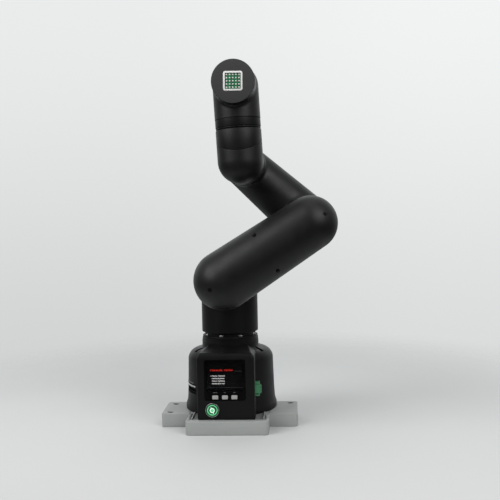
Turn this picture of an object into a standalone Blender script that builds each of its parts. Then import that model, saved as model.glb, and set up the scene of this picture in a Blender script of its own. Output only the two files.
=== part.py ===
"""Six-axis desktop robot arm, as an assembly of separate parts.

Units are metres and +Z is up. The origin lies on the turning axis of the base, in the plane of the
base plate's underside, and the front of the base, with its display, faces -Y. Each link hangs on an
empty that sits on its joint's axis, so the arm is posed by the rest angles below.
"""
import math

import bmesh
import bpy
from mathutils import Matrix

# Gap left between pieces that touch on the real arm.
GAP = 0.0003

# Skeleton: heights, link lengths and the sideways offset between the two planes that the arm works in.
SHOULDER_HEIGHT = 0.2037
UPPER_ARM_LENGTH = 0.1350
FOREARM_LENGTH = 0.1200
FRONT_PLANE = -0.0888
TOOL_AXIS_HEIGHT = 0.0950
TOOL_FACE_OFFSET = 0.0655

# Rest angles about +Y, in degrees, counted from the arm standing straight up.
SHOULDER_REST = 57.5
ELBOW_REST = -104.9
WRIST_REST = 44.7

# Angle in degrees by which the light matrix is turned in its disc.
MATRIX_TURN = 3.6

# Outer radii of the round housings.
SHOULDER_RADIUS = 0.0395
UPPER_ARM_RADII = (0.0389, 0.0353)
FOREARM_RADII = (0.0356, 0.0299)
WRIST_RADIUS = 0.0294
TOOL_BARREL_RADIUS = 0.0272
HUB_STEP = 0.0004

# Shared wall thickness, and the plane where a link in the front plane meets one in the rear plane.
WALL = 0.0030
REAR_HUB_END = -0.0437
FLANGE_FACES = (-0.0440, -0.0450)
FRONT_HUB_END = -0.0453
CABLE_BORE = 0.0090
MOTOR_BORE = 0.0180

# Base plate: a cross of a long centre block and two wings.
PLATE_THICKNESS = 0.01825
PLATE_HALF_WIDTH = 0.0549
PLATE_FRONT = -0.0878
PLATE_REAR = 0.0660
WING_REACH = 0.0933
WING_FRONT = -0.0460
WING_REAR = 0.0230
PLATE_CORNER = 0.0050
PLATE_HOLES = ((-0.081, 0.011), (-0.082, -0.035), (0.083, 0.014))
PLATE_HOLE_RADIUS = 0.0040

# Base housing: a bell with a box for the display in front and a flat boss for the sockets behind.
FLOOR = PLATE_THICKNESS + GAP
BELL_RADIUS = 0.0598
BELL_FOOT_RADIUS = 0.0640
SHOULDER_ROUND = 0.0150
NECK_RADIUS = 0.0397
NECK_TOP = 0.1195
BOX_CENTRE = -0.0010
BOX_HALF_WIDTH = 0.0382
BOX_FRONT = -0.0790
BOX_WALL_TOP = 0.1010
BOX_TOP = 0.1070
BOSS_HALF_WIDTH = 0.0300
BOSS_REAR = 0.0625
BOSS_HEIGHTS = (0.0240, 0.0780)

# Display module and its buttons.
DISPLAY_CENTRE = (-0.0020, 0.0711)
DISPLAY_SIZE = 0.0540
BUTTON_PLACES = (("left", -0.0150), ("middle", -0.0021), ("right", 0.0103))
BUTTON_HEIGHT = 0.0485
BUTTON_SIZE = (0.0087, 0.0067)
POWER_CENTRE = (-0.0192, 0.0316)
POWER_RADIUS = 0.0097

# Ports in the rear panel: name, place (x, z), width and height; and the thickness of their rims.
REAR_PORTS = (
    ("network_port", -0.0150, 0.0580, 0.0160, 0.0136),
    ("usb_port_upper", 0.0100, 0.0660, 0.0146, 0.0070),
    ("usb_port_lower", 0.0100, 0.0530, 0.0146, 0.0070),
)
PORT_RIM = 0.0010

# Screws of the upper arm's cover: x, height above the link's middle, and rise of the head above the
# link's axis.
COVER_SCREWS = (
    (0.0, -0.0842, 0.0329),
    (0.0, 0.0890, 0.0282),
    (-0.0270, 0.0, 0.0232),
    (0.0270, 0.0, 0.0232),
)

# Turning joint between the base and the shoulder.
SCREW_COUNT = 8
SCREW_CIRCLE = 0.0338
FIRST_SCREW_ANGLE = 16.0

# Number of flats around large, middling and small round pieces.
LARGE = 28
MIDDLE = 16
SMALL = 10

# Bores start at this angle, so that their corners miss those of the faces they cut.
CUT_PHASE = 4.0

# Turns that lay local +Z along -Y and along +Y, and one that takes the front to the left flank's port.
FRONTWARD = (math.radians(90), 0, 0)
REARWARD = (math.radians(-90), 0, 0)
SIDE_PORT_TURN = (0, 0, math.radians(-62))


def clear_scene():
    """Remove the objects that a new file starts with."""
    for item in list(bpy.data.objects):
        bpy.data.objects.remove(item, do_unlink=True)


def new_collection(name):
    """A collection linked to the scene."""
    collection = bpy.data.collections.new(name)
    bpy.context.scene.collection.children.link(collection)
    return collection


clear_scene()
PARTS = new_collection("desktop_robot_arm")
CUTTERS = new_collection("cutters")


def make_material(name, colour, roughness, metallic=0.0, glow=0.0):
    """A Principled material; glow lights the piece in its own colour."""
    material = bpy.data.materials.new(name)
    material.use_nodes = True
    shader = material.node_tree.nodes["Principled BSDF"]
    shader.inputs["Base Color"].default_value = (*colour, 1.0)
    shader.inputs["Roughness"].default_value = roughness
    shader.inputs["Metallic"].default_value = metallic
    if glow:
        shader.inputs["Emission Color"].default_value = (*colour, 1.0)
        shader.inputs["Emission Strength"].default_value = glow
    material.diffuse_color = (*colour, 1.0)
    return material


BLACK_PLASTIC = make_material("black_plastic", (0.020, 0.020, 0.021), 0.48)
DARK_PLASTIC = make_material("dark_plastic", (0.055, 0.056, 0.058), 0.55)
GREY_PLATE = make_material("grey_plate", (0.36, 0.38, 0.38), 0.60)
GREY_BUTTON = make_material("grey_button", (0.45, 0.45, 0.43), 0.45)
GREEN_PLASTIC = make_material("green_plastic", (0.04, 0.42, 0.20), 0.40)
WHITE_PLASTIC = make_material("white_plastic", (0.75, 0.76, 0.74), 0.40)
DISPLAY_GLASS = make_material("display_glass", (0.010, 0.010, 0.011), 0.08)
SCREEN_PANEL = make_material("screen_panel", (0.02, 0.02, 0.02), 0.30)
GREEN_LIGHT = make_material("green_light", (0.05, 0.75, 0.25), 0.35, glow=1.5)
CHROME = make_material("chrome", (0.80, 0.80, 0.80), 0.12, metallic=1.0)
STEEL = make_material("steel", (0.55, 0.55, 0.55), 0.30, metallic=1.0)
BLACK_STEEL = make_material("black_steel", (0.03, 0.03, 0.03), 0.35, metallic=1.0)
ALUMINIUM = make_material("aluminium", (0.62, 0.63, 0.64), 0.35, metallic=1.0)
CIRCUIT_BOARD = make_material("circuit_board", (0.02, 0.22, 0.10), 0.45)


def joint_empty(name, parent, location, turn=0.0):
    """An empty on a joint's axis, turned about Y by an angle in degrees."""
    empty = bpy.data.objects.new(name, None)
    empty.empty_display_size = 0.02
    empty.location = location
    empty.rotation_euler = (0, math.radians(turn), 0)
    empty.parent = parent
    PARTS.objects.link(empty)
    return empty


SHOULDER = joint_empty("shoulder_turn_axis", None, (0, 0, 0))
UPPER_ARM = joint_empty("shoulder_lift_axis", SHOULDER, (0, 0, SHOULDER_HEIGHT), SHOULDER_REST)
FOREARM = joint_empty("elbow_axis", UPPER_ARM, (0, 0, UPPER_ARM_LENGTH), ELBOW_REST)
WRIST = joint_empty("wrist_lift_axis", FOREARM, (0, 0, FOREARM_LENGTH), WRIST_REST)
TOOL_JOINT = joint_empty("wrist_turn_axis", WRIST, (0, FRONT_PLANE, 0))
TOOL = joint_empty("tool_turn_axis", TOOL_JOINT, (0, 0, TOOL_AXIS_HEIGHT))


def place(name, mesh, material, parent=None, location=(0, 0, 0), rotation=(0, 0, 0)):
    """Link a mesh as a part, or as a cutter if it has no material."""
    item = bpy.data.objects.new(name, mesh)
    item.location = location
    item.rotation_euler = rotation
    item.parent = parent
    if material:
        mesh.materials.append(material)
        PARTS.objects.link(item)
    else:
        item.display_type = "WIRE"
        item.hide_render = True
        CUTTERS.objects.link(item)
    return item


def mesh_from(name, bm):
    """Turn a bmesh into mesh data."""
    mesh = bpy.data.meshes.new(name)
    bm.to_mesh(mesh)
    bm.free()
    return mesh


def round_edges(item, width, segments=2, angle=40):
    """Round every edge sharper than an angle."""
    bevel = item.modifiers.new("rounded edges", "BEVEL")
    bevel.width = width
    bevel.segments = segments
    bevel.limit_method = "ANGLE"
    bevel.angle_limit = math.radians(angle)


def cuboid(low, high):
    """A bmesh box between two corners."""
    bm = bmesh.new()
    size = [h - l for l, h in zip(low, high)]
    middle = [(h + l) / 2 for l, h in zip(low, high)]
    bmesh.ops.create_cube(bm, size=1, matrix=Matrix.Translation(middle) @ Matrix.Diagonal((*size, 1)))
    return bm


def round_along(bm, axis, corner, segments):
    """Round the edges of a bmesh box that run along one axis, given as 0, 1 or 2."""
    along = [e for e in bm.edges if abs(e.verts[0].co[axis] - e.verts[1].co[axis]) > 1e-6]
    bmesh.ops.bevel(bm, geom=along, offset=corner, segments=segments, affect="EDGES", profile=0.5)


def block(name, low, high, material=None, parent=None, rounding=0.0, segments=2, **where):
    """A box between two corners, with its edges rounded if asked."""
    item = place(name, mesh_from(name, cuboid(low, high)), material, parent, **where)
    if rounding:
        round_edges(item, rounding, segments)
    return item


def slab(name, width, height, depth, centre, front, corner, material=None, parent=None, segments=3,
         turn=0.0):
    """A plate facing -Y with rounded corners, turned in its own plane by an angle in degrees.

    Its centre is (x, z) and front is its face's y.
    """
    x, z = centre
    bm = cuboid((x - width / 2, front, z - height / 2), (x + width / 2, front + depth, z + height / 2))
    round_along(bm, 1, corner, segments)
    bmesh.ops.rotate(bm, cent=(x, 0, z), matrix=Matrix.Rotation(math.radians(turn), 3, "Y"), verts=bm.verts)
    return place(name, mesh_from(name, bm), material, parent)


def upright(name, low, high, corner, material=None, segments=3):
    """A box between two corners whose upright edges are rounded."""
    bm = cuboid(low, high)
    round_along(bm, 2, corner, segments)
    return place(name, mesh_from(name, bm), material)


def turned(name, outline, material=None, parent=None, ring=False, steps=MIDDLE, phase=0.0, **where):
    """A shape turned about local Z from a starting angle, its phase, in degrees.

    The outline runs down the outside, as (radius, height) pairs.
    """
    mesh = bpy.data.meshes.new(name)
    across, along = math.cos(math.radians(phase)), math.sin(math.radians(phase))
    edges = [(i, i + 1) for i in range(len(outline) - 1)]
    if ring:
        edges.append((len(outline) - 1, 0))
    mesh.from_pydata([(r * across, r * along, z) for r, z in outline], edges, [])
    item = place(name, mesh, material, parent, **where)
    screw = item.modifiers.new("turned", "SCREW")
    screw.steps = steps
    screw.render_steps = steps
    screw.use_merge_vertices = True
    screw.merge_threshold = 0.00002
    screw.use_smooth_shade = True
    return item


def rod(name, radius, bottom, top, material=None, parent=None, steps=MIDDLE, **where):
    """A plain cylinder along local Z."""
    outline = ((0, top), (radius, top), (radius, bottom), (0, bottom))
    return turned(name, outline, material, parent, steps=steps, **where)


def tube(name, outer, inner, bottom, top, material=None, parent=None, steps=MIDDLE, **where):
    """A plain ring along local Z."""
    outline = ((outer, top), (outer, bottom), (inner, bottom), (inner, top))
    return turned(name, outline, material, parent, ring=True, steps=steps, **where)


def hollow(name, parent, radius, bore, deep, wall_start, wall_end, **where):
    """A cutter that hollows a hub along local Z and bores the wall at its end."""
    outline = [(0, deep), (radius, deep), (radius, wall_start), (bore, wall_start), (bore, wall_end),
               (0, wall_end)]
    if wall_end > deep:
        outline.reverse()
    return turned(name, outline, None, parent, phase=CUT_PHASE, **where)


def boolean(item, other, operation):
    """Add an exact Boolean of one object with another."""
    modifier = item.modifiers.new(operation.lower(), "BOOLEAN")
    modifier.operation = operation
    modifier.object = other
    modifier.solver = "EXACT"


def cut(item, *others):
    """Take cutters away from an object."""
    for other in others:
        boolean(item, other, "DIFFERENCE")


def join(item, *others):
    """Add shapes to an object."""
    for other in others:
        boolean(item, other, "UNION")


def keep(item, other):
    """Keep only what lies inside another shape."""
    boolean(item, other, "INTERSECT")


def arc(centre, radius, start, end, count):
    """Points along an arc of an outline, angles in degrees from the outward direction."""
    points = []
    for i in range(count + 1):
        angle = math.radians(start + (end - start) * i / count)
        points.append((centre[0] + radius * math.cos(angle), centre[1] + radius * math.sin(angle)))
    return points


def capsule_outline(low_radius, high_radius, length, count=7):
    """Outline of a round bar with domed ends centred at heights 0 and length."""
    lean = math.degrees(math.asin((low_radius - high_radius) / length))
    upper = arc((0, length), high_radius, 90, lean, count)
    lower = arc((0, 0), low_radius, lean, -90, count)
    upper[0] = (0, length + high_radius)
    lower[-1] = (0, -low_radius)
    return upper + lower


# ---------------------------------------------------------------------------------------------- base


def build_base_plate():
    """Grey mounting plate, bored for bolts, with a slit on each side of the display box."""
    plate = upright("base_plate", (-PLATE_HALF_WIDTH, PLATE_FRONT, 0),
                    (PLATE_HALF_WIDTH, PLATE_REAR, PLATE_THICKNESS), PLATE_CORNER, GREY_PLATE)
    join(plate, upright("plate_wings", (-WING_REACH, WING_FRONT, 0),
                        (WING_REACH, WING_REAR, PLATE_THICKNESS), PLATE_CORNER))
    for i, (x, y) in enumerate(PLATE_HOLES):
        hole = rod(f"plate_hole_{i}", PLATE_HOLE_RADIUS, -0.001, 0.02, steps=SMALL, location=(x, y, 0))
        cut(plate, hole)
    for side, x in (("left", -0.0475), ("right", 0.0485)):
        low = (x - 0.0007, -0.0760, PLATE_THICKNESS - 0.0030)
        high = (x + 0.0007, -0.0430, PLATE_THICKNESS + 0.001)
        cut(plate, block(f"plate_slit_{side}", low, high))


def bell_outline(inset=0.0):
    """Outline of the bell from the neck's top to the foot, moved inward for its inside."""
    outline = [(NECK_RADIUS - inset, NECK_TOP - inset)]
    outline += arc((0.0432, 0.1065), 0.0035 + inset, 180, 270, 3)
    outline += arc((BELL_RADIUS - SHOULDER_ROUND, 0.0875), SHOULDER_ROUND - inset, 86, 0, 7)
    outline += [(0.0614 - inset, 0.0310), (0.0625 - inset, 0.0280), (BELL_FOOT_RADIUS - inset, 0.0255)]
    outline += [(BELL_FOOT_RADIUS - inset, FLOOR if not inset else FLOOR - 0.002)]
    return [(0, outline[0][1])] + outline + [(0, outline[-1][1])]


def display_box(name, inset=0.0):
    """The box in front of the bell, its top drawn in towards the neck."""
    half = BOX_HALF_WIDTH - inset
    front, rear = BOX_FRONT + inset, -0.0200
    floor = FLOOR if not inset else FLOOR - 0.002
    bm = cuboid((BOX_CENTRE - half, front, floor), (BOX_CENTRE + half, rear, BOX_WALL_TOP - inset))
    top = max(bm.faces, key=lambda face: face.calc_center_median().z)
    raised = bmesh.ops.extrude_face_region(bm, geom=[top])
    bmesh.ops.delete(bm, geom=[top], context="FACES_ONLY")
    for vert in [g for g in raised["geom"] if isinstance(g, bmesh.types.BMVert)]:
        at_front = vert.co.y < (front + rear) / 2
        narrow = 0.0030 if at_front else 0.0120
        vert.co.x -= math.copysign(narrow, vert.co.x - BOX_CENTRE)
        vert.co.y += 0.0015 if at_front else 0.0
        vert.co.z = (BOX_TOP if at_front else BOX_TOP + 0.0030) - inset
    bmesh.ops.recalc_face_normals(bm, faces=bm.faces)
    item = place(name, mesh_from(name, bm), None)
    if not inset:
        round_edges(item, 0.0022, segments=3, angle=20)
    return item


def build_base_housing():
    """Black cover of the base: bell, display box and socket boss in one hollow moulding."""
    housing = turned("base_housing", bell_outline(), BLACK_PLASTIC, steps=LARGE)
    boss_low = (-BOSS_HALF_WIDTH, 0.030, BOSS_HEIGHTS[0])
    boss_high = (BOSS_HALF_WIDTH, BOSS_REAR, BOSS_HEIGHTS[1])
    boss = block("socket_boss", boss_low, boss_high, rounding=0.0025)
    join(housing, display_box("display_box"), boss)
    inside = turned("bell_inside", bell_outline(WALL), steps=MIDDLE)
    boss_inside = block("boss_inside", (-0.0265, 0.020, 0.0275), (0.0265, 0.0595, 0.0745))
    cut(housing, inside, display_box("display_box_inside", WALL), boss_inside)
    cut(housing, rod("neck_bore", 0.0270, 0.100, 0.125))
    window = DISPLAY_SIZE + 2 * GAP
    cut(housing, slab("display_window", window, window, 0.010, DISPLAY_CENTRE, -0.083, 0.0028))
    where = {"location": (POWER_CENTRE[0], 0, POWER_CENTRE[1]), "rotation": FRONTWARD}
    cut(housing, rod("power_button_hole", 0.0083, 0.070, 0.085, steps=MIDDLE, **where))
    cut(housing, block("terminal_hole", (0.028, -0.0713, 0.0477), (0.045, -0.0577, 0.0661)))
    cut(housing, block("rear_panel_window", (-0.0238, 0.055, 0.0302), (0.0238, 0.066, 0.0718)))
    panel_seat = block("rear_panel_seat", (-0.0273, 0.0602, 0.0267), (0.0273, 0.066, 0.0753))
    cut(housing, panel_seat)
    cut(housing, block("side_port_hole", (-0.0153, -0.066, 0.0435), (0.0153, -0.052, 0.0515),
                       rotation=SIDE_PORT_TURN))
    for side, sign in (("left", -1), ("right", 1)):
        slot = block(f"shoulder_slot_{side}", (-0.0070, -0.0022, -0.006), (0.0070, 0.0022, 0.004),
                     location=(sign * 0.0424 - 0.0005, -0.0210, 0.1022),
                     rotation=(0, sign * math.radians(16), sign * math.radians(-50)))
        cut(housing, slot)


def build_display():
    """Square display module with a glass window over a panel and three push buttons below it."""
    x, z = DISPLAY_CENTRE
    front = BOX_FRONT - 0.0002
    module = slab("display_module", DISPLAY_SIZE, DISPLAY_SIZE, 0.0135, DISPLAY_CENTRE, front, 0.0025,
                  BLACK_PLASTIC)
    glass_centre = (x, z + 0.0052)
    pocket = slab("glass_pocket", 0.0496, 0.0396, 0.0021, glass_centre, front - 0.0002, 0.0010)
    cut(module, pocket)
    slab("display_glass", 0.0490, 0.0390, 0.0010, glass_centre, front, 0.0008, DISPLAY_GLASS)
    panel_front = front + 0.0010 + GAP
    slab("display_panel", 0.0470, 0.0370, 0.0003, glass_centre, panel_front, 0.0006, SCREEN_PANEL)
    width, height = BUTTON_SIZE
    for side, button_x in BUTTON_PLACES:
        centre = (button_x, BUTTON_HEIGHT)
        well = slab(f"button_well_{side}", width + 2 * GAP, height + 2 * GAP, 0.0060, centre,
                    front - 0.001, 0.0012)
        cut(module, well)
        slab(f"menu_button_{side}", width, height, 0.0048, centre, front - 0.0010, 0.0011, GREY_BUTTON)


def build_power_button():
    """Round push button: threaded barrel with a chrome bezel, a light ring, a cap and its nut."""
    where = {"location": (POWER_CENTRE[0], 0, POWER_CENTRE[1]), "rotation": FRONTWARD}
    face = -BOX_FRONT
    barrel = ((POWER_RADIUS - 0.0012, face + 0.0024), (POWER_RADIUS, face + 0.0014),
              (POWER_RADIUS, face + GAP), (0.0080, face + GAP), (0.0080, face - 0.024),
              (0.0030, face - 0.024), (0.0030, face - 0.006), (0.0072, face - 0.006),
              (0.0072, face + 0.0010), (0.0082, face + 0.0020))
    turned("power_button_barrel", barrel, CHROME, ring=True, steps=MIDDLE, **where)
    ring = ((0.0069, face + 0.0018), (0.0069, face - 0.0012), (0.0052, face - 0.0012),
            (0.0052, face + 0.0018))
    turned("power_light_ring", ring, GREEN_LIGHT, ring=True, steps=MIDDLE, **where)
    cap = ((0, face + 0.0026), (0.0040, face + 0.0025), (0.0049, face + 0.0018),
           (0.0049, face - 0.0030), (0, face - 0.0030))
    turned("power_button_cap", cap, WHITE_PLASTIC, steps=MIDDLE, **where)
    tube("power_button_nut", 0.0110, 0.0087, face - WALL - 0.0033, face - WALL - GAP, STEEL,
         steps=12, **where)


def build_sockets():
    """Sockets in the right flank, the left flank and the rear of the base."""
    right = BOX_CENTRE + BOX_HALF_WIDTH
    socket = block("terminal_socket", (0.0330, -0.0710, 0.0480), (right + 0.0060, -0.0580, 0.0658),
                   GREEN_PLASTIC)
    cut(socket, block("terminal_pocket", (0.0390, -0.0695, 0.0508), (0.060, -0.0595, 0.0620)))
    block("terminal_plug", (0.0393, -0.0692, 0.0511), (right + 0.0083, -0.0598, 0.0617), GREEN_PLASTIC,
          rounding=0.0005, segments=1)
    port = block("side_port", (-0.0150, -0.0584, 0.0438), (0.0150, -0.0500, 0.0512), BLACK_STEEL,
                 rotation=SIDE_PORT_TURN)
    cut(port, block("side_port_slot", (-0.0132, -0.064, 0.0456), (0.0132, -0.0545, 0.0494),
                    rotation=SIDE_PORT_TURN))
    panel = block("rear_port_panel", (-0.0270, 0.0605, 0.0270), (0.0270, BOSS_REAR, 0.0750), ALUMINIUM)
    for name, x, z, width, height in REAR_PORTS:
        low_x, low_z = x - width / 2, z - height / 2
        high_x, high_z = x + width / 2, z + height / 2
        cut(panel, block(name + "_hole", (low_x - GAP, 0.0580, low_z - GAP),
                         (high_x + GAP, 0.0660, high_z + GAP)))
        shell = block(name, (low_x, 0.0500, low_z), (high_x, 0.0631, high_z), STEEL)
        rim = PORT_RIM
        cut(shell, block(name + "_mouth", (low_x + rim, 0.0560, low_z + rim),
                         (high_x - rim, 0.0660, high_z - rim)))
    inlet_place = {"location": (-0.0130, 0, 0.0385), "rotation": FRONTWARD}
    cut(panel, rod("power_inlet_hole", 0.0063, -0.0660, -0.0580, steps=MIDDLE, **inlet_place))
    inlet = ((0, -0.0480), (0.0060, -0.0480), (0.0060, -0.0645), (0.0032, -0.0645),
             (0.0032, -0.0575), (0, -0.0575))
    turned("power_inlet", inlet, BLACK_PLASTIC, steps=MIDDLE, **inlet_place)


def build_base_inside():
    """What turns and drives the column, kept inside the base."""
    motor = ((0, 0.1032), (0.0220, 0.1032), (0.0220, 0.0990), (0.0310, 0.0990), (0.0310, 0.0500),
             (0, 0.0500))
    turned("base_motor", motor, ALUMINIUM, steps=MIDDLE)
    tube("base_bearing", 0.0362, 0.0265, 0.1040, 0.1158, STEEL, steps=MIDDLE)
    block("control_board", (-0.0310, -0.0600, 0.0450), (0.0290, -0.0584, 0.0970), CIRCUIT_BOARD)
    block("power_board", (-0.0350, -0.0300, 0.0260), (0.0350, 0.0400, 0.0276), CIRCUIT_BOARD)


# ---------------------------------------------------------------------------------------------- arm


def build_turning_joint():
    """Flange that carries the column on the base's bearing, with its ring of cap screws."""
    floor = NECK_TOP + GAP
    flange = ((0, 0.1259), (0.0366, 0.1259), (0.0372, 0.1253), (0.0372, floor + 0.0012),
              (0.0386, floor + 0.0008), (0.0386, floor), (0.0257, floor), (0.0257, 0.1036), (0, 0.1036))
    foot = turned("shoulder_flange", flange, BLACK_PLASTIC, SHOULDER, steps=LARGE)
    for i in range(SCREW_COUNT):
        angle = math.radians(-90 - FIRST_SCREW_ANGLE + 360 / SCREW_COUNT * i)
        spot = (SCREW_CIRCLE * math.cos(angle), SCREW_CIRCLE * math.sin(angle), 0)
        pocket = rod(f"screw_pocket_{i}", 0.0039, floor + 0.0012, 0.1245, None, SHOULDER, SMALL,
                     location=spot)
        cut(foot, pocket)
        rod(f"shoulder_flange_screw_{i + 1}", 0.0035, floor + 0.0015, 0.1236, STEEL, SHOULDER, SMALL,
            location=spot)


def build_shoulder():
    """Column housing with a domed top, a hub towards the upper arm and a rear cap over its motor."""
    radius = SHOULDER_RADIUS
    foot = 0.1262
    outline = arc((0, SHOULDER_HEIGHT), radius, 90, 0, 7)
    outline[0] = (0, SHOULDER_HEIGHT + radius)
    outline += [(radius, foot + 0.0012), (radius - 0.0012, foot), (0, foot)]
    inner = radius - WALL
    inside = arc((0, SHOULDER_HEIGHT), inner, 90, 0, 4)
    inside[0] = (0, SHOULDER_HEIGHT + inner)
    inside += [(inner, foot - 0.002), (0, foot - 0.002)]
    hub = radius - HUB_STEP
    lift = {"location": (0, 0, SHOULDER_HEIGHT), "rotation": FRONTWARD}
    split, cap_foot = 0.0240, 0.1745
    for name, is_cap in (("shoulder_housing", False), ("shoulder_rear_cap", True)):
        shell = turned(name, outline, BLACK_PLASTIC, SHOULDER, steps=LARGE)
        if is_cap:
            keep(shell, block("cap_region", (-0.05, split + GAP, cap_foot + GAP), (0.05, 0.05, 0.26),
                              None, SHOULDER))
            cut(shell, turned("cap_inside", inside, None, SHOULDER, steps=MIDDLE))
        else:
            join(shell, rod("shoulder_hub", hub, 0.0, -REAR_HUB_END, None, SHOULDER, LARGE, **lift))
            cut(shell, turned("shoulder_inside", inside, None, SHOULDER, steps=MIDDLE))
            cut(shell, hollow("shoulder_hub_inside", SHOULDER, hub - WALL, MOTOR_BORE, 0.0,
                              -REAR_HUB_END - WALL, -REAR_HUB_END + 0.002, **lift))
            cut(shell, block("cap_opening", (-0.05, split, cap_foot), (0.05, 0.05, 0.26), None, SHOULDER))


def build_motor(name, parent, location, radius, rear, front, rotation=FRONTWARD):
    """A geared joint motor: a finned body and a smaller output end, along its axis."""
    neck = front - 0.004
    outline = [(0, front), (radius * 0.6, front), (radius * 0.6, neck), (radius, neck)]
    outline += [(radius, rear + 0.010), (radius - 0.002, rear + 0.010), (radius - 0.002, rear)]
    outline += [(0, rear)]
    turned(name, outline, ALUMINIUM, parent, steps=MIDDLE, location=location, rotation=rotation)


def build_output_flange(name, parent, location, radius):
    """Thin disc between two links, with a hollow boss that enters the driving housing."""
    rear, front = -FLANGE_FACES[0], -FLANGE_FACES[1]
    outline = ((radius, front), (radius, rear), (0.0160, rear), (0.0160, rear - 0.0050),
               (CABLE_BORE, rear - 0.0050), (CABLE_BORE, front))
    turned(name, outline, ALUMINIUM, parent, ring=True, steps=MIDDLE, location=location,
           rotation=FRONTWARD)


def build_link(name, parent, radii, length, plane, hub_end, split):
    """A hollow link: a domed round bar with a hub at each end, and a cover over its other side.

    Heights run from the first joint to the second. The bar's axis lies in the plane y = plane, its
    hubs run from there to y = hub_end, and the cover is what lies beyond y = split.
    """
    low, high = radii
    outward = 1 if hub_end < plane else -1
    place_bar = {"location": (0, plane, 0)}
    inner = capsule_outline(low - WALL, high - WALL, length, 4)
    shell = turned(f"{name}_shell", capsule_outline(low, high, length), BLACK_PLASTIC, parent,
                   steps=LARGE, **place_bar)
    cover = turned(f"{name}_cover", capsule_outline(low, high, length), BLACK_PLASTIC, parent,
                   steps=LARGE, **place_bar)
    cutters = []
    for end, (height, radius) in enumerate(((0, low), (length, high))):
        hub = radius - HUB_STEP
        where = {"location": (0, 0, height), "rotation": FRONTWARD}
        reach = sorted((-plane, -hub_end))
        join(shell, rod(f"{name}_hub_{end}", hub, *reach, None, parent, LARGE, **where))
        bore = MOTOR_BORE if outward > 0 else CABLE_BORE
        cutters.append(hollow(f"{name}_hub_inside_{end}", parent, hub - WALL, bore, -plane,
                              -hub_end - outward * WALL, -hub_end + outward * 0.002, **where))
    cut(shell, turned(f"{name}_inside", inner, None, parent, steps=MIDDLE, **place_bar), *cutters)
    cut(cover, turned(f"{name}_cover_inside", inner, None, parent, steps=MIDDLE, **place_bar))
    reach_low, reach_high = -0.06, length + 0.06
    far = split + 0.10 * outward
    low_y, high_y = sorted((split, far))
    cut(shell, block(f"{name}_shell_trim", (-0.06, low_y, reach_low), (0.06, high_y, reach_high),
                     None, parent))
    low_y, high_y = sorted((split + GAP * outward, far))
    keep(cover, block(f"{name}_cover_region", (-0.06, low_y, reach_low), (0.06, high_y, reach_high),
                      None, parent))
    return cover


def build_upper_arm():
    """Upper arm in the front plane, its front cover held by four recessed screws."""
    cover = build_link("upper_arm", UPPER_ARM, UPPER_ARM_RADII, UPPER_ARM_LENGTH, FRONT_PLANE,
                       FRONT_HUB_END, FRONT_PLANE - 0.004)
    middle = UPPER_ARM_LENGTH / 2
    for i, (x, z, rise) in enumerate(COVER_SCREWS):
        where = {"location": (x, 0, middle + z), "rotation": FRONTWARD}
        cut(cover, rod(f"cover_screw_hole_{i}", 0.0025, 0.100, 0.140, None, UPPER_ARM, SMALL, **where))
        top = rise - FRONT_PLANE
        rod(f"upper_arm_cover_screw_{i + 1}", 0.0022, top - 0.006, top, BLACK_STEEL, UPPER_ARM, SMALL,
            **where)
    build_output_flange("upper_arm_flange", UPPER_ARM, (0, 0, 0), 0.0362)
    build_output_flange("elbow_flange", UPPER_ARM, (0, 0, UPPER_ARM_LENGTH), 0.0330)


def build_forearm():
    """Forearm in the rear plane, with the elbow and wrist motors inside and a rear cover."""
    build_link("forearm", FOREARM, FOREARM_RADII, FOREARM_LENGTH, 0.0, REAR_HUB_END, 0.0060)
    build_motor("elbow_motor", FOREARM, (0, 0, 0), 0.0240, -0.016, 0.0385)
    build_motor("wrist_lift_motor", FOREARM, (0, 0, FOREARM_LENGTH), 0.0205, -0.012, 0.0385)


def build_wrist():
    """Wrist elbow and tube in the front plane, split on a slope, with the turning motor inside."""
    radius, top = WRIST_RADIUS, 0.0399
    outline = [(0, top), (radius, top)] + arc((0, 0), radius, 0, -90, 7)
    outline[-1] = (0, -radius)
    inner = radius - 0.0026
    inside = [(0, top + 0.002), (inner, top + 0.002)] + arc((0, 0), inner, 0, -90, 4)
    inside[-1] = (0, -inner)
    slope = (math.radians(27), 0, 0)
    seam = (0, FRONT_PLANE, 0.0270)
    hub_place = {"location": (0, 0, 0), "rotation": FRONTWARD}
    hub = radius - HUB_STEP
    elbow = turned("wrist_elbow", outline, BLACK_PLASTIC, WRIST, steps=LARGE, location=(0, FRONT_PLANE, 0))
    join(elbow, rod("wrist_hub", hub, -FRONT_HUB_END, -FRONT_PLANE, None, WRIST, LARGE, **hub_place))
    cut(elbow, turned("wrist_elbow_inside", inside, None, WRIST, location=(0, FRONT_PLANE, 0)))
    cut(elbow, hollow("wrist_hub_inside", WRIST, hub - 0.0026, CABLE_BORE, -FRONT_PLANE,
                      -FRONT_HUB_END + 0.0026, -FRONT_HUB_END - 0.002, **hub_place))
    cut(elbow, block("above_seam", (-0.08, -0.08, 0), (0.08, 0.08, 0.08), None, WRIST, location=seam,
                     rotation=slope))
    sleeve = turned("wrist_tube", outline, BLACK_PLASTIC, WRIST, steps=LARGE, location=(0, FRONT_PLANE, 0))
    cut(sleeve, turned("wrist_tube_inside", inside, None, WRIST, location=(0, FRONT_PLANE, 0)))
    cut(sleeve, block("below_seam", (-0.08, -0.08, -0.10), (0.08, 0.08, GAP), None, WRIST,
                      location=seam, rotation=slope))
    build_output_flange("wrist_flange", WRIST, (0, 0, 0), 0.0275)
    build_motor("wrist_turn_motor", WRIST, (0, FRONT_PLANE, 0), 0.0205, -0.012, 0.0450, (0, 0, 0))


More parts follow.
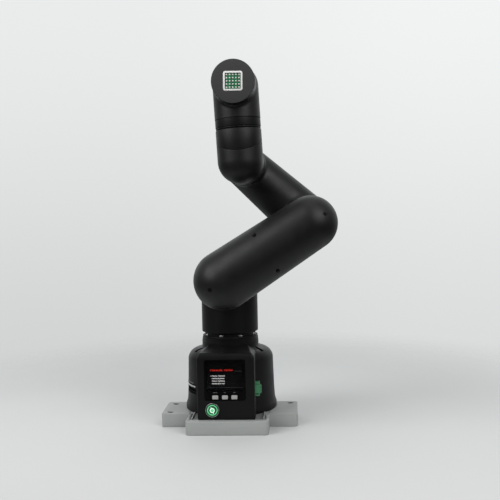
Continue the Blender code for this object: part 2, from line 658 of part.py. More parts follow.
def build_tool_joint():
    """Housing that crosses the wrist: a collar below, a light matrix in front and the motor inside."""
    radius, barrel = WRIST_RADIUS, TOOL_BARREL_RADIUS
    collar = ((radius - 0.0002, 0.0533), (radius - 0.0002, 0.0417), (0.0274, 0.0409),
              (0.0274, 0.0402), (0.0225, 0.0402), (0.0225, 0.0533))
    turned("wrist_collar", collar, BLACK_PLASTIC, TOOL_JOINT, ring=True, steps=LARGE)
    foot = 0.0536
    outline = arc((0, TOOL_AXIS_HEIGHT), radius, 90, 0, 7) + [(radius, foot), (0, foot)]
    outline[0] = (0, TOOL_AXIS_HEIGHT + radius)
    inner = radius - 0.0026
    inside = arc((0, TOOL_AXIS_HEIGHT), inner, 90, 0, 4)
    inside += [(inner, foot + 0.0026), (0.0190, foot + 0.0026), (0.0190, foot - 0.002), (0, foot - 0.002)]
    inside[0] = (0, TOOL_AXIS_HEIGHT + inner)
    across = {"location": (0, 0, TOOL_AXIS_HEIGHT), "rotation": FRONTWARD}
    front, rear = 0.0416, -0.0510
    housing = turned("tool_housing", outline, BLACK_PLASTIC, TOOL_JOINT, steps=LARGE)
    join(housing, rod("tool_barrel", barrel, rear, front, None, TOOL_JOINT, LARGE, **across))
    cut(housing, turned("tool_inside", inside, None, TOOL_JOINT, phase=CUT_PHASE))
    cut(housing, hollow("tool_barrel_inside", TOOL_JOINT, barrel - 0.0026, 0.0150, front + 0.002,
                        rear + 0.0026, rear - 0.002, **across))
    build_motor("tool_motor", TOOL_JOINT, (0, 0, TOOL_AXIS_HEIGHT), 0.0195, -0.0340, 0.0430,
                REARWARD)
    face = -0.0449
    disc = ((0, 0.0449), (0.0264, 0.0449), (0.0270, 0.0443), (0.0270, 0.0419), (0, 0.0419))
    cap = turned("disc_cap", disc, DARK_PLASTIC, TOOL_JOINT, steps=LARGE, **across)
    centre = (0, TOOL_AXIS_HEIGHT)
    turn = MATRIX_TURN
    cut(cap, slab("matrix_window", 0.0246, 0.0246, 0.012, centre, face - 0.002, 0.0027, None, TOOL_JOINT,
                  turn=turn))
    frame = slab("matrix_frame", 0.0240, 0.0240, 0.0040, centre, face - 0.0004, 0.0024, WHITE_PLASTIC,
                 TOOL_JOINT, turn=turn)
    cut(frame, slab("matrix_frame_opening", 0.0196, 0.0196, 0.012, centre, face - 0.003, 0.0008, None,
                    TOOL_JOINT, turn=turn))
    slab("matrix_board", 0.0190, 0.0190, 0.0016, centre, face + 0.0010, 0.0005, CIRCUIT_BOARD, TOOL_JOINT,
         turn=turn)


def build_tool_flange():
    """Turning output flange, drilled for four tool screws and a locating pin."""
    face, back = -TOOL_FACE_OFFSET, -0.0513
    outline = ((0, -0.0445), (0.0147, -0.0445), (0.0147, back), (0.0245, back), (0.0245, face + 0.0006),
               (0.0239, face), (0.0080, face), (0.0080, face + 0.0030), (0, face + 0.0030))
    flange = turned("tool_flange", outline, ALUMINIUM, TOOL, steps=LARGE, rotation=FRONTWARD)
    for i in range(4):
        angle = math.radians(45 + 90 * i)
        x, z = 0.01575 * math.cos(angle), 0.01575 * math.sin(angle)
        hole = rod(f"tool_screw_hole_{i}", 0.0021, face - 0.002, face + 0.0080, None, TOOL, SMALL,
                   location=(x, 0, z), rotation=FRONTWARD)
        cut(flange, hole)
    cut(flange, rod("locating_pin_hole", 0.0015, face - 0.002, face + 0.0050, None, TOOL, SMALL,
                    location=(0.01575, 0, 0), rotation=FRONTWARD))


def build_all():
    """Build every part, from the base to the tool flange."""
    build_base_plate()
    build_base_housing()
    build_display()
    build_power_button()
    build_sockets()
    build_base_inside()
    build_turning_joint()
    build_shoulder()
    build_motor("shoulder_motor", SHOULDER, (0, 0, SHOULDER_HEIGHT), 0.0260, -0.018, 0.0385)
    build_upper_arm()
    build_forearm()
    build_wrist()
    build_tool_joint()
    build_tool_flange()


build_all()
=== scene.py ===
"""Looks of a six-axis desktop robot arm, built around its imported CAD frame.

Lengths are metres. Each piece is made at its link's own axes, where +Z runs from the link's first joint
to its second, and is then laid on the link's body in the rest pose.
"""

import itertools
import math

import bmesh
import bpy
import numpy as np
from mathutils import Matrix, Vector


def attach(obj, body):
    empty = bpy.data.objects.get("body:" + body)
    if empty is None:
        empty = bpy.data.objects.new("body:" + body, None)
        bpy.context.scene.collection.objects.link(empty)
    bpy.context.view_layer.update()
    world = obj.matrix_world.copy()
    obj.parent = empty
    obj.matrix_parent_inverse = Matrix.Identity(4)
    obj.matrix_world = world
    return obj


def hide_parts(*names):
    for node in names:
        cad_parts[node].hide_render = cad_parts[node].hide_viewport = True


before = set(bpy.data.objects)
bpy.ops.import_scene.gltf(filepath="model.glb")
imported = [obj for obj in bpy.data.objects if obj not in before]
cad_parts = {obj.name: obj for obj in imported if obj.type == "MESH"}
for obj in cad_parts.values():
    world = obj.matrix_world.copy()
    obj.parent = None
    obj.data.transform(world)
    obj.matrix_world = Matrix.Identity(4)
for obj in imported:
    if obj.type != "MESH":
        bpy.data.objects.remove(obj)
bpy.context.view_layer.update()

# Gap left between pieces that touch on the real arm.
GAP = 0.0003

# Skeleton of the arm and its rest angles in degrees, as in the CAD.
SHOULDER_HEIGHT = 0.2037
UPPER_ARM_LENGTH = 0.1350
FOREARM_LENGTH = 0.1200
FRONT_PLANE = -0.0888
TOOL_AXIS_HEIGHT = 0.0950
TOOL_FACE_OFFSET = 0.0655
SHOULDER_REST = 57.5
ELBOW_REST = -104.9
WRIST_REST = 44.7

# Outer radii of the round housings, and how far a hub steps in from its housing.
SHOULDER_RADIUS = 0.0395
UPPER_ARM_RADII = (0.0389, 0.0353)
FOREARM_RADII = (0.0356, 0.0299)
WRIST_RADIUS = 0.0294
TOOL_BARREL_RADIUS = 0.0272
MATRIX_TURN = 3.6
HUB_STEP = 0.0004
WALL = 0.0030

# Planes where links meet, as y.
REAR_HUB_END = -0.0437
FLANGE_FACES = (-0.0440, -0.0450)
FRONT_HUB_END = -0.0453

# Base: the plate, the bell, the display box and the socket boss.
PLATE_THICKNESS = 0.01825
PLATE_CORNER = 0.0050
BOLT_HOLES = ((-0.0810, 0.0110), (-0.0820, -0.0350), (0.0830, 0.0140))
PLATE_SLITS = (-0.0475, 0.0485)
FLOOR = PLATE_THICKNESS + GAP
BELL_RADIUS = 0.0598
BELL_FOOT_RADIUS = 0.0640
NECK_RADIUS = 0.0397
NECK_TOP = 0.1195
BOX_CENTRE = -0.0010
BOX_HALF_WIDTH = 0.0382
BOX_FRONT = -0.0790
BOX_WALL_TOP = 0.1010
BOX_TOP = 0.1070
DISPLAY_CENTRE = (-0.0020, 0.0711)
DISPLAY_SIZE = 0.0540
MODULE_FRONT = BOX_FRONT - 0.0002
BUTTON_PLACES = (("left", -0.0150), ("middle", -0.0021), ("right", 0.0103))
BUTTON_HEIGHT = 0.0485
BUTTON_SIZE = (0.0087, 0.0067)
POWER_CENTRE = (-0.0192, 0.0316)
POWER_FACE = -BOX_FRONT

# Middle of the patch of floor that is lit; it fades out round about.
FLOOR_CENTRE = (0.0, 0.12, 0.0)

# Steps round a turned piece, and cell size of the blended housings.
FINE = 128
MIDDLE = 64
SMALL = 28
CELL = 0.0013

FRONTWARD = Matrix.Rotation(math.radians(90), 4, "X")

SIDE_PORT_TURN = -62
CAMERA_LENS = 55.08
CAMERA_PLACE = (0.0913, -1.0754, 0.2849)
CAMERA_ANGLES = (-3.24, 2.44, -1.18)


def slide(x, y, z):
    """A translation."""
    return Matrix.Translation((x, y, z))


def tilt(degrees, axis="Y"):
    """A rotation."""
    return Matrix.Rotation(math.radians(degrees), 4, axis)


UPPER_ARM = slide(0, 0, SHOULDER_HEIGHT) @ tilt(SHOULDER_REST)
FOREARM = UPPER_ARM @ slide(0, 0, UPPER_ARM_LENGTH) @ tilt(ELBOW_REST)
WRIST = FOREARM @ slide(0, 0, FOREARM_LENGTH) @ tilt(WRIST_REST)
TOOL_JOINT = WRIST @ slide(0, FRONT_PLANE, 0)
TOOL = TOOL_JOINT @ slide(0, 0, TOOL_AXIS_HEIGHT)


# ----------------------------------------------------------------------------------------- materials


def finish(name, colour, roughness, metallic=0.0, mottle=0.10, mottle_scale=22.0, grain_scale=1700.0,
           grain_depth=0.00002, smudge=0.05, stretch=(1, 1, 1), coat=0.0, glow=0.0, specular=0.5,
           alpha=1.0):
    """A procedural material: mottled colour, smudged gloss and a fine grain in relief.

    stretch scales the grain's coordinates, so that a large value draws it out into fine lines.
    """
    material = bpy.data.materials.new(name)
    material.use_nodes = True
    nodes, links = material.node_tree.nodes, material.node_tree.links
    shader = nodes["Principled BSDF"]
    where = nodes.new("ShaderNodeTexCoord")

    def noise(scale, detail, source):
        node = nodes.new("ShaderNodeTexNoise")
        node.inputs["Scale"].default_value = scale
        node.inputs["Detail"].default_value = detail
        links.new(source, node.inputs["Vector"])
        return node.outputs["Fac"]

    drawn = nodes.new("ShaderNodeMapping")
    drawn.inputs["Scale"].default_value = stretch
    links.new(where.outputs["Object"], drawn.inputs["Vector"])
    broad = noise(mottle_scale, 4.0, where.outputs["Object"])
    grain = noise(grain_scale, 3.0, drawn.outputs["Vector"])
    smear = noise(mottle_scale * 2.7, 5.0, drawn.outputs["Vector"])

    blend = nodes.new("ShaderNodeMath")
    blend.operation = "MULTIPLY_ADD"
    blend.inputs[1].default_value = 0.35
    links.new(grain, blend.inputs[0])
    links.new(broad, blend.inputs[2])
    tint = nodes.new("ShaderNodeMapRange")
    tint.inputs["From Min"].default_value = 0.40
    tint.inputs["From Max"].default_value = 0.95
    links.new(blend.outputs[0], tint.inputs["Value"])
    mix = nodes.new("ShaderNodeMix")
    mix.data_type = "RGBA"
    mix.inputs["A"].default_value = (*[c * (1 - mottle) for c in colour], 1)
    mix.inputs["B"].default_value = (*[min(1.0, c * (1 + mottle)) for c in colour], 1)
    links.new(tint.outputs["Result"], mix.inputs["Factor"])
    links.new(mix.outputs["Result"], shader.inputs["Base Color"])

    gloss = nodes.new("ShaderNodeMapRange")
    gloss.inputs["From Min"].default_value = 0.3
    gloss.inputs["From Max"].default_value = 0.7
    gloss.inputs["To Min"].default_value = max(0.02, roughness - smudge)
    gloss.inputs["To Max"].default_value = min(1.0, roughness + smudge)
    links.new(smear, gloss.inputs["Value"])
    links.new(gloss.outputs["Result"], shader.inputs["Roughness"])

    relief = nodes.new("ShaderNodeBump")
    relief.inputs["Strength"].default_value = 0.6
    relief.inputs["Distance"].default_value = grain_depth
    links.new(grain, relief.inputs["Height"])
    links.new(relief.outputs["Normal"], shader.inputs["Normal"])

    shader.inputs["Metallic"].default_value = metallic
    shader.inputs["Specular IOR Level"].default_value = specular
    shader.inputs["Coat Weight"].default_value = coat
    shader.inputs["Coat Roughness"].default_value = 0.08
    shader.inputs["Alpha"].default_value = alpha
    if glow:
        links.new(mix.outputs["Result"], shader.inputs["Emission Color"])
        shader.inputs["Emission Strength"].default_value = glow
    material.diffuse_color = (*colour, 1)
    return material


BLACK = finish("moulded_black", (0.0045, 0.0045, 0.0046), 0.47, mottle=0.14, grain_depth=0.00001,
               specular=0.33)
# A darker, less glossy copy of the arm's black plastic: painted shade for the base cover, the column, its
# flange and the wrist collar.
BLACK_SHADED = finish("black_painted_shade", (0.0035, 0.0035, 0.0036), 0.46, mottle=0.14, grain_depth=0.000012,
                    specular=0.17)
DISC_GREY = finish("disc_grey", (0.027, 0.027, 0.028), 0.62, mottle=0.10, grain_depth=0.000025)
PLATE_GREY = finish("powder_coated_grey", (0.31, 0.322, 0.312), 0.62, mottle=0.06, mottle_scale=14,
                    grain_scale=1100, grain_depth=0.00004, smudge=0.08)
GLOSS_BLACK = finish("display_black", (0.0022, 0.0022, 0.0022), 0.26, mottle=0.2, smudge=0.05,
                     grain_depth=0.000002, specular=0.04)
GLASS = finish("display_glass_dark", (0.004, 0.004, 0.0045), 0.10, mottle=0.1, smudge=0.02,
               grain_depth=0.0000001, alpha=0.30, specular=0.10)
SCREEN = finish("screen_dark", (0.002, 0.002, 0.0023), 0.45, mottle=0.12, smudge=0.03,
                grain_scale=5000, grain_depth=0.0000003, specular=0.08)
BUTTON_GREY = finish("button_grey", (0.34, 0.34, 0.325), 0.42, mottle=0.05, grain_depth=0.00001)
BEZEL_STEEL = finish("bezel_steel", (0.52, 0.50, 0.51), 0.15, metallic=1.0, mottle=0.06, smudge=0.06,
                     grain_depth=0.000002)
STEEL = finish("steel_plain", (0.60, 0.60, 0.59), 0.30, metallic=1.0, mottle=0.10, smudge=0.10,
               grain_depth=0.000006)
BLACK_STEEL = finish("steel_blackened", (0.035, 0.035, 0.036), 0.36, metallic=0.6, mottle=0.15,
                     smudge=0.08, grain_depth=0.000008)
ALUMINIUM = finish("aluminium_turned", (0.62, 0.63, 0.64), 0.32, metallic=1.0, mottle=0.06,
                   smudge=0.08, grain_scale=900, grain_depth=0.000006, stretch=(1, 6, 1))
ALUMINIUM_DARK = finish("aluminium_anodised_black", (0.05, 0.05, 0.052), 0.34, metallic=0.7,
                        mottle=0.08, grain_depth=0.000006)
WHITE_PLASTIC = finish("moulded_white", (0.82, 0.82, 0.80), 0.42, mottle=0.04, grain_depth=0.000008)
GREEN_PLASTIC = finish("terminal_green", (0.050, 0.21, 0.095), 0.38, mottle=0.08, grain_depth=0.00001)
# Dark green for the backs of the terminal's grooves: painted shade, darker than the terminal's own green.
GREEN_GROOVE_SHADE = finish("terminal_green_painted_shade", (0.003, 0.060, 0.026), 0.45, mottle=0.12)
BOARD_GREEN = finish("board_green", (0.006, 0.155, 0.062), 0.36, mottle=0.25, mottle_scale=180,
                     grain_depth=0.00001, coat=0.4)
LED_BODY = finish("led_body", (0.60, 0.59, 0.55), 0.40, mottle=0.08)
LED_LENS = finish("led_lens", (0.74, 0.73, 0.66), 0.20, mottle=0.10, coat=0.5)
GOLD = finish("contact_gold", (0.80, 0.58, 0.25), 0.22, metallic=1.0, mottle=0.08)
DARK_RECESS = finish("recess_dark", (0.0035, 0.0035, 0.0035), 0.7, mottle=0.2, specular=0.12)
RED_LIGHT = finish("screen_red", (0.80, 0.045, 0.025), 0.4, mottle=0.25, grain_scale=2600, glow=0.55)
WHITE_LIGHT = finish("screen_white", (0.90, 0.90, 0.88), 0.4, mottle=0.15, grain_scale=2600, glow=0.7)
# Dark brown for sleeves inside the bolt holes: painted shade in the holes.
HOLE_SHADE_BROWN = finish("hole_painted_shade_brown", (0.060, 0.038, 0.026), 0.55, metallic=0.4, mottle=0.4, mottle_scale=300,
                grain_depth=0.00002)
GREY_PRINT = finish("printed_grey", (0.20, 0.20, 0.20), 0.5, mottle=0.2, grain_scale=2600)
PALE_PRINT = finish("printed_pale", (0.55, 0.56, 0.56), 0.5, mottle=0.15, grain_scale=2600)
GREEN_DARK = finish("light_green_dark", (0.001, 0.058, 0.016), 0.40, mottle=0.12, glow=0.08)
PALE_GREEN = finish("light_symbol", (0.60, 0.86, 0.68), 0.34, mottle=0.08, glow=0.40)
PALE_LIGHT = finish("light_pale_green", (0.12, 0.56, 0.25), 0.34, mottle=0.06, glow=0.38)
FLOOR_WHITE = finish("floor_pale", (0.60, 0.609, 0.605), 0.7, mottle=0.01, mottle_scale=3, grain_scale=60,
                     grain_depth=0.0001)

CAD_FINISHES = {
    "display_panel": SCREEN,
    "power_button_nut": STEEL,
    "base_motor": ALUMINIUM,
    "base_bearing": STEEL,
    "control_board": BOARD_GREEN,
    "power_board": BOARD_GREEN,
    "shoulder_motor": ALUMINIUM,
    "elbow_motor": ALUMINIUM,
    "wrist_lift_motor": ALUMINIUM,
    "wrist_turn_motor": ALUMINIUM,
    "tool_motor": ALUMINIUM,
}


# ------------------------------------------------------------------------------------- mesh building


def lathe(outline, steps=MIDDLE, closed=False):
    """Mesh of an outline of (radius, height), running down the outside, turned about Z."""
    bm = bmesh.new()
    rings = []
    for radius, height in outline:
        if radius < 1e-7:
            rings.append([bm.verts.new((0, 0, height))] * steps)
            continue
        angles = [math.tau * i / steps for i in range(steps)]
        rings.append([bm.verts.new((radius * math.cos(a), radius * math.sin(a), height)) for a in angles])
    following = rings[1:] + (rings[:1] if closed else [])
    for upper, lower in zip(rings, following):
        for i in range(steps):
            j = (i + 1) % steps
            corners = list(dict.fromkeys((upper[i], lower[i], lower[j], upper[j])))
            if len(corners) > 2:
                bm.faces.new(corners)
    return bm


def eased(outline, radius, closed=False, count=3):
    """The outline with its corners rounded off."""
    points = [Vector(p) for p in outline]
    last = len(points) - 1
    result = []
    for i, point in enumerate(points):
        if not closed and i in (0, last):
            result.append(tuple(point))
            continue
        before = points[i - 1] - point
        after = points[(i + 1) % len(points)] - point
        reach = min(radius, before.length * 0.45, after.length * 0.45)
        start = point + before.normalized() * reach
        end = point + after.normalized() * reach
        if before.normalized().dot(after.normalized()) < -0.97:
            result.append(tuple(point))
            continue
        for step in range(count + 1):
            t = step / count
            result.append(tuple(start * (1 - t) ** 2 + point * 2 * t * (1 - t) + end * t ** 2))
    return result


def arc(centre, radius, start, end, count):
    """Points along an arc of an outline, angles in degrees from the outward direction."""
    angles = [math.radians(start + (end - start) * i / count) for i in range(count + 1)]
    return [(centre[0] + radius * math.cos(a), centre[1] + radius * math.sin(a)) for a in angles]


def rod(radius, bottom, top, steps=SMALL, ease=0.0):
    """A cylinder along Z, its rims rounded."""
    outline = [(0, top), (radius, top), (radius, bottom), (0, bottom)]
    return lathe(eased(outline, ease) if ease else outline, steps)


def brick(low, high, ease=0.0, segments=2):
    """A box between two corners, all its edges rounded."""
    bm = bmesh.new()
    size = [h - l for l, h in zip(low, high)]
    middle = [(h + l) / 2 for l, h in zip(low, high)]
    bmesh.ops.create_cube(bm, size=1, matrix=Matrix.Translation(middle) @ Matrix.Diagonal((*size, 1)))
    if ease:
        bmesh.ops.bevel(bm, geom=bm.edges[:], offset=ease, segments=segments, affect="EDGES", profile=0.5)
    return bm


def tile(width, height, depth, centre, front, corner, ease=0.0, segments=6):
    """A plate facing -Y: rounded corners, and a rounded edge round its front."""
    x, z = centre
    bm = brick((x - width / 2, front, z - height / 2), (x + width / 2, front + depth, z + height / 2))
    along = [e for e in bm.edges if abs(e.verts[0].co.y - e.verts[1].co.y) > 1e-6]
    bmesh.ops.bevel(bm, geom=along, offset=corner, segments=segments, affect="EDGES", profile=0.5)
    if ease:
        rim = [e for e in bm.edges if all(abs(v.co.y - front) < 1e-6 for v in e.verts)]
        bmesh.ops.bevel(bm, geom=rim, offset=ease, segments=2, affect="EDGES", profile=0.5)
    return bm


def moved(bm, matrix):
    """The mesh after a transform."""
    bmesh.ops.transform(bm, matrix=matrix, verts=bm.verts[:])
    return bm


def gathered(*meshes):
    """Several meshes as one."""
    whole = bmesh.new()
    for bm in meshes:
        part = bpy.data.meshes.new("part")
        bm.to_mesh(part)
        bm.free()
        whole.from_mesh(part)
        bpy.data.meshes.remove(part)
    return whole


def booleans(bm, operation, *others):
    """The mesh joined with others, or with them cut away or kept."""
    items = []
    for i, mesh in enumerate((bm, *others)):
        data = bpy.data.meshes.new(f"operand_{i}")
        mesh.to_mesh(data)
        mesh.free()
        item = bpy.data.objects.new(f"operand_{i}", data)
        bpy.context.scene.collection.objects.link(item)
        items.append(item)
    for other in items[1:]:
        modifier = items[0].modifiers.new("boolean", "BOOLEAN")
        modifier.operation = operation
        modifier.solver = "EXACT"
        modifier.object = other
    evaluated = items[0].evaluated_get(bpy.context.evaluated_depsgraph_get())
    result = bmesh.new()
    result.from_mesh(evaluated.to_mesh())
    evaluated.to_mesh_clear()
    for item in items:
        data = item.data
        bpy.data.objects.remove(item)
        bpy.data.meshes.remove(data)
    bmesh.ops.remove_doubles(result, verts=result.verts[:], dist=2e-6)
    bmesh.ops.dissolve_degenerate(result, edges=result.edges[:], dist=1e-6)
    return result


def sliced(bm, point, outward, ease=0.0):
    """The closed mesh cut by a plane: the outward part goes, the cut is closed and its rim eased."""
    everything = bm.verts[:] + bm.edges[:] + bm.faces[:]
    made = bmesh.ops.bisect_plane(bm, geom=everything, plane_co=point, plane_no=outward, clear_outer=True,
                                  dist=1e-7)
    rim = [g for g in made["geom_cut"] if isinstance(g, bmesh.types.BMEdge)]
    bmesh.ops.triangle_fill(bm, edges=rim, use_beauty=True, use_dissolve=False, normal=outward)
    if ease:
        rim = [e for e in rim if e.is_valid and len(e.link_faces) == 2]
        bmesh.ops.bevel(bm, geom=rim, offset=ease, segments=2, affect="EDGES", profile=0.5,
                        clamp_overlap=True)
    return bm


def bar(start, end, low, high=None):
    """Distance to a round bar with domed ends and the direction away from it, for an array of points."""
    a, b = np.array(start, float), np.array(end, float)
    high = low if high is None else high
    along = b - a
    square = along @ along
    taper = low - high
    lean = square - taper ** 2

    def measure(points):
        offset = points - a
        run = offset @ along
        past = run - square
        side = ((offset * square - np.outer(run, along)) ** 2).sum(1)
        run_square, past_square = run ** 2 * square, past ** 2 * square
        bound = np.sign(taper) * taper ** 2 * side
        distance = (np.sqrt(side * lean / square) + run * taper) / square - low
        distance = np.where(np.sign(run) * lean * run_square < bound,
                            np.sqrt(side + run_square) / square - low, distance)
        distance = np.where(np.sign(past) * lean * past_square > bound,
                            np.sqrt(side + past_square) / square - high, distance)
        share = np.clip(run / square, 0, 1)
        away = points - (a + share[:, None] * along)
        return distance, away / (np.linalg.norm(away, axis=1, keepdims=True) + 1e-12)

    return measure


def melted(fillet, *bars):
    """Distance to bars that run into each other with a fillet where they meet at an angle."""
    def measure(points):
        total, away = bars[0](points)
        for other in bars[1:]:
            distance, direction = other(points)
            angle = np.clip(1 - (away * direction).sum(1), 0, 1)
            reach = fillet * angle + 1e-7
            share = np.clip(0.5 + 0.5 * (distance - total) / reach, 0, 1)
            total = distance * (1 - share) + total * share - reach * share * (1 - share)
            away = away * share[:, None] + direction * (1 - share)[:, None]
        return total

    return measure


def settled(points, measure, times=2):
    """Points moved on to the surface where the distance is zero."""
    step = 0.00005
    for _ in range(times):
        slope = np.empty_like(points)
        for axis in range(3):
            shift = np.zeros(3)
            shift[axis] = step
            slope[:, axis] = (measure(points + shift) - measure(points - shift)) / (2 * step)
        size = (slope ** 2).sum(1, keepdims=True) + 1e-9
        points = points - measure(points)[:, None] * slope / size
    return points


def skin(measure, low, high, cell=CELL):
    """Closed, even quad mesh of the surface where a distance is zero, closed off by a box."""
    low, high = np.array(low, float), np.array(high, float)
    middle, half = (low + high) / 2, (high - low) / 2

    def boxed(points):
        return np.maximum(measure(points), (np.abs(points - middle) - half).max(1))

    counts = np.ceil((high - low) / cell).astype(int) + 4
    start = low - 1.5 * cell
    axes = [start[i] + cell * np.arange(counts[i]) for i in range(3)]
    grid = np.stack(np.meshgrid(*axes, indexing="ij"), -1).reshape(-1, 3)
    inside = (boxed(grid) < 0).reshape(counts)
    cells = counts - 1
    corners = np.zeros(cells, int)
    for a, b, c in itertools.product((0, 1), repeat=3):
        corners += inside[a:a + cells[0], b:b + cells[1], c:c + cells[2]]
    mixed = (corners > 0) & (corners < 8)
    index = np.full(cells, -1)
    index[mixed] = np.arange(mixed.sum())
    points = start + (np.argwhere(mixed) + 0.5) * cell
    quads = []
    for axis in range(3):
        across, up = np.eye(3, dtype=int)[(axis + 1) % 3], np.eye(3, dtype=int)[(axis + 2) % 3]
        first = np.take(inside, range(counts[axis] - 1), axis)
        second = np.take(inside, range(1, counts[axis]), axis)
        edge = np.argwhere(first != second)
        loop = [edge - across - up, edge - up, edge, edge - across]
        faces = np.stack([index[tuple(c.T)] for c in loop], 1)
        leaving = first[tuple(edge.T)]
        quads.append(np.where(leaving[:, None], faces, faces[:, ::-1]))
    quads = np.concatenate(quads)
    starts, ends = quads.reshape(-1), np.roll(quads, -1, 1).reshape(-1)
    neighbours = np.bincount(starts, minlength=len(points))[:, None]
    for _ in range(5):
        pulled = [np.bincount(starts, points[ends, axis], len(points)) for axis in range(3)]
        points = settled(np.stack(pulled, 1) / neighbours, boxed)
    mesh = bpy.data.meshes.new("skin")
    mesh.from_pydata(points.tolist(), [], quads.tolist())
    bm = bmesh.new()
    bm.from_mesh(mesh)
    bpy.data.meshes.remove(mesh)
    return bm


def shelled(measure, low, high, wall=WALL, cell=CELL):
    """A skin and, inside it, the coarser skin of its cavity."""
    outer = skin(measure, low, high, cell)
    cavity = skin(lambda points: measure(points) + wall, low, high, 3 * cell)
    bmesh.ops.reverse_faces(cavity, faces=cavity.faces[:])
    return gathered(outer, cavity)


def piece(name, bm, material, body, place=None, stands_for=(), sharp=38):
    """Put a mesh on a body as a shown piece, standing for CAD nodes if any are named."""
    bmesh.ops.triangulate(bm, faces=[f for f in bm.faces if len(f.verts) > 4], ngon_method="EAR_CLIP")
    mesh = bpy.data.meshes.new(name)
    bm.to_mesh(mesh)
    bm.free()
    if place:
        mesh.transform(place)
    mesh.materials.append(material)
    mesh.polygons.foreach_set("use_smooth", [True] * len(mesh.polygons))
    mesh.set_sharp_from_angle(angle=math.radians(sharp))
    item = bpy.data.objects.new(name, mesh)
    bpy.context.scene.collection.objects.link(item)
    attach(item, body)
    if stands_for:
        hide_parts(*([stands_for] if isinstance(stands_for, str) else stands_for))
    return item


def detail(node, bm, material, body, place, slot, sharp=38):
    """Put up the piece that stands for one CAD node."""
    return piece(f"{node}_detail", bm, material, body, place, node, sharp)


# ---------------------------------------------------------------------------------------------- base


def power_place():
    """Where the power button sits, facing the front."""
    return slide(POWER_CENTRE[0], 0, POWER_CENTRE[1]) @ FRONTWARD


def upright(low, high, corner, segments=8):
    """A box whose upright edges are rounded."""
    bm = brick(low, high)
    along = [e for e in bm.edges if abs(e.verts[0].co.z - e.verts[1].co.z) > 1e-6]
    bmesh.ops.bevel(bm, geom=along, offset=corner, segments=segments, affect="EDGES", profile=0.5)
    return bm


def ease_rims(bm, height, offset, segments=3):
    """Round the sharp edges that lie at one height."""
    rim = [e for e in bm.edges if all(abs(v.co.z - height) < 1e-5 for v in e.verts)
           and len(e.link_faces) == 2 and e.calc_face_angle(0) > math.radians(50)]
    bmesh.ops.bevel(bm, geom=rim, offset=offset, segments=segments, affect="EDGES", profile=0.5)
    return bm


def build_plate():
    """Mounting plate with eased edges, bolt holes and the two slits beside the box."""
    plate = upright((-0.0549, -0.0878, 0), (0.0549, 0.0660, PLATE_THICKNESS), PLATE_CORNER)
    wings = upright((-0.0933, -0.0460, 0), (0.0933, 0.0230, PLATE_THICKNESS), PLATE_CORNER)
    plate = booleans(plate, "UNION", wings)
    ease_rims(plate, PLATE_THICKNESS, 0.0008)
    ease_rims(plate, 0.0, 0.0008)
    top = PLATE_THICKNESS
    flared = [(0, 0.020), (0.0065, 0.020), (0.0047, top), (0.0040, top - 0.0006), (0.0040, 0.0006),
              (0.0047, 0), (0.0065, -0.002), (0, -0.002)]
    holes = [moved(lathe(flared, SMALL), slide(x, y, 0)) for x, y in BOLT_HOLES]
    slits = [brick((x - 0.0007, -0.0760, top - 0.003), (x + 0.0007, -0.0430, 0.02)) for x in PLATE_SLITS]
    plate = booleans(plate, "DIFFERENCE", *holes, *slits)
    detail("base_plate", plate, PLATE_GREY, "base", None, "grey_plate")
    # Dark brown sleeves inside the bolt holes: painted shade, so the holes read dark instead of showing
    # the lit floor through them.
    sleeve = [(0.0039, top - 0.0012), (0.0039, 0.0008), (0.0034, 0.0008), (0.0034, top - 0.0012)]
    shade_sleeves = [moved(lathe(sleeve, SMALL, True), slide(x, y, 0)) for x, y in BOLT_HOLES]
    piece("bolt_hole_shade_sleeves", gathered(*shade_sleeves), HOLE_SHADE_BROWN, "base")


def bell_outline(inset=0.0):
    """Outline of the bell from the neck's top to the foot, moved inward for its inside."""
    outline = [(NECK_RADIUS - inset, NECK_TOP - inset), (NECK_RADIUS - inset, 0.1146)]
    if not inset:
        outline = [(NECK_RADIUS - 0.0016, NECK_TOP), (NECK_RADIUS - 0.0010, NECK_TOP - 0.0005),
                   (NECK_RADIUS - 0.0010, 0.1178), (NECK_RADIUS - 0.0004, 0.1174),
                   (NECK_RADIUS - 0.0004, 0.1142), (NECK_RADIUS, 0.1138)]
    outline += arc((0.0437, 0.1070), 0.0040 + inset, 180, 262, 8)
    outline += arc((BELL_RADIUS - 0.0150, 0.0875), 0.0150 - inset, 84, 0, 16)
    foot = BELL_FOOT_RADIUS - inset
    outline += [(0.0608 - inset, 0.0480), (0.0616 - inset, 0.0335), (0.0622 - inset, 0.0300),
                (0.0632 - inset, 0.0272), (foot, 0.0245)]
    outline += [(foot, FLOOR + 0.0006), (foot - 0.0006, FLOOR)] if not inset else [(foot, FLOOR - 0.002)]
    return [(0, outline[0][1])] + outline + [(0, outline[-1][1])]


def display_box(inset=0.0):
    """The box in front of the bell, its top drawn in towards the neck."""
    half = BOX_HALF_WIDTH - inset
    front, rear = BOX_FRONT + inset, -0.0200
    floor = FLOOR if not inset else FLOOR - 0.002
    bm = brick((BOX_CENTRE - half, front, floor), (BOX_CENTRE + half, rear, BOX_WALL_TOP - inset))
    top = max(bm.faces, key=lambda face: face.calc_center_median().z)
    raised = bmesh.ops.extrude_face_region(bm, geom=[top])
    bmesh.ops.delete(bm, geom=[top], context="FACES_ONLY")
    for vert in [g for g in raised["geom"] if isinstance(g, bmesh.types.BMVert)]:
        at_front = vert.co.y < (front + rear) / 2
        vert.co.x -= math.copysign(0.0030 if at_front else 0.0120, vert.co.x - BOX_CENTRE)
        vert.co.y += 0.0015 if at_front else 0.0
        vert.co.z = (BOX_TOP if at_front else BOX_TOP + 0.0030) - inset
    bmesh.ops.recalc_face_normals(bm, faces=bm.faces)
    if not inset:
        sharp = [e for e in bm.edges if e.calc_face_angle(0) > math.radians(12)
                 and not all(v.co.z < floor + 1e-5 for v in e.verts)]
        bmesh.ops.bevel(bm, geom=sharp, offset=0.0020, segments=5, affect="EDGES", profile=0.5)
    return bm


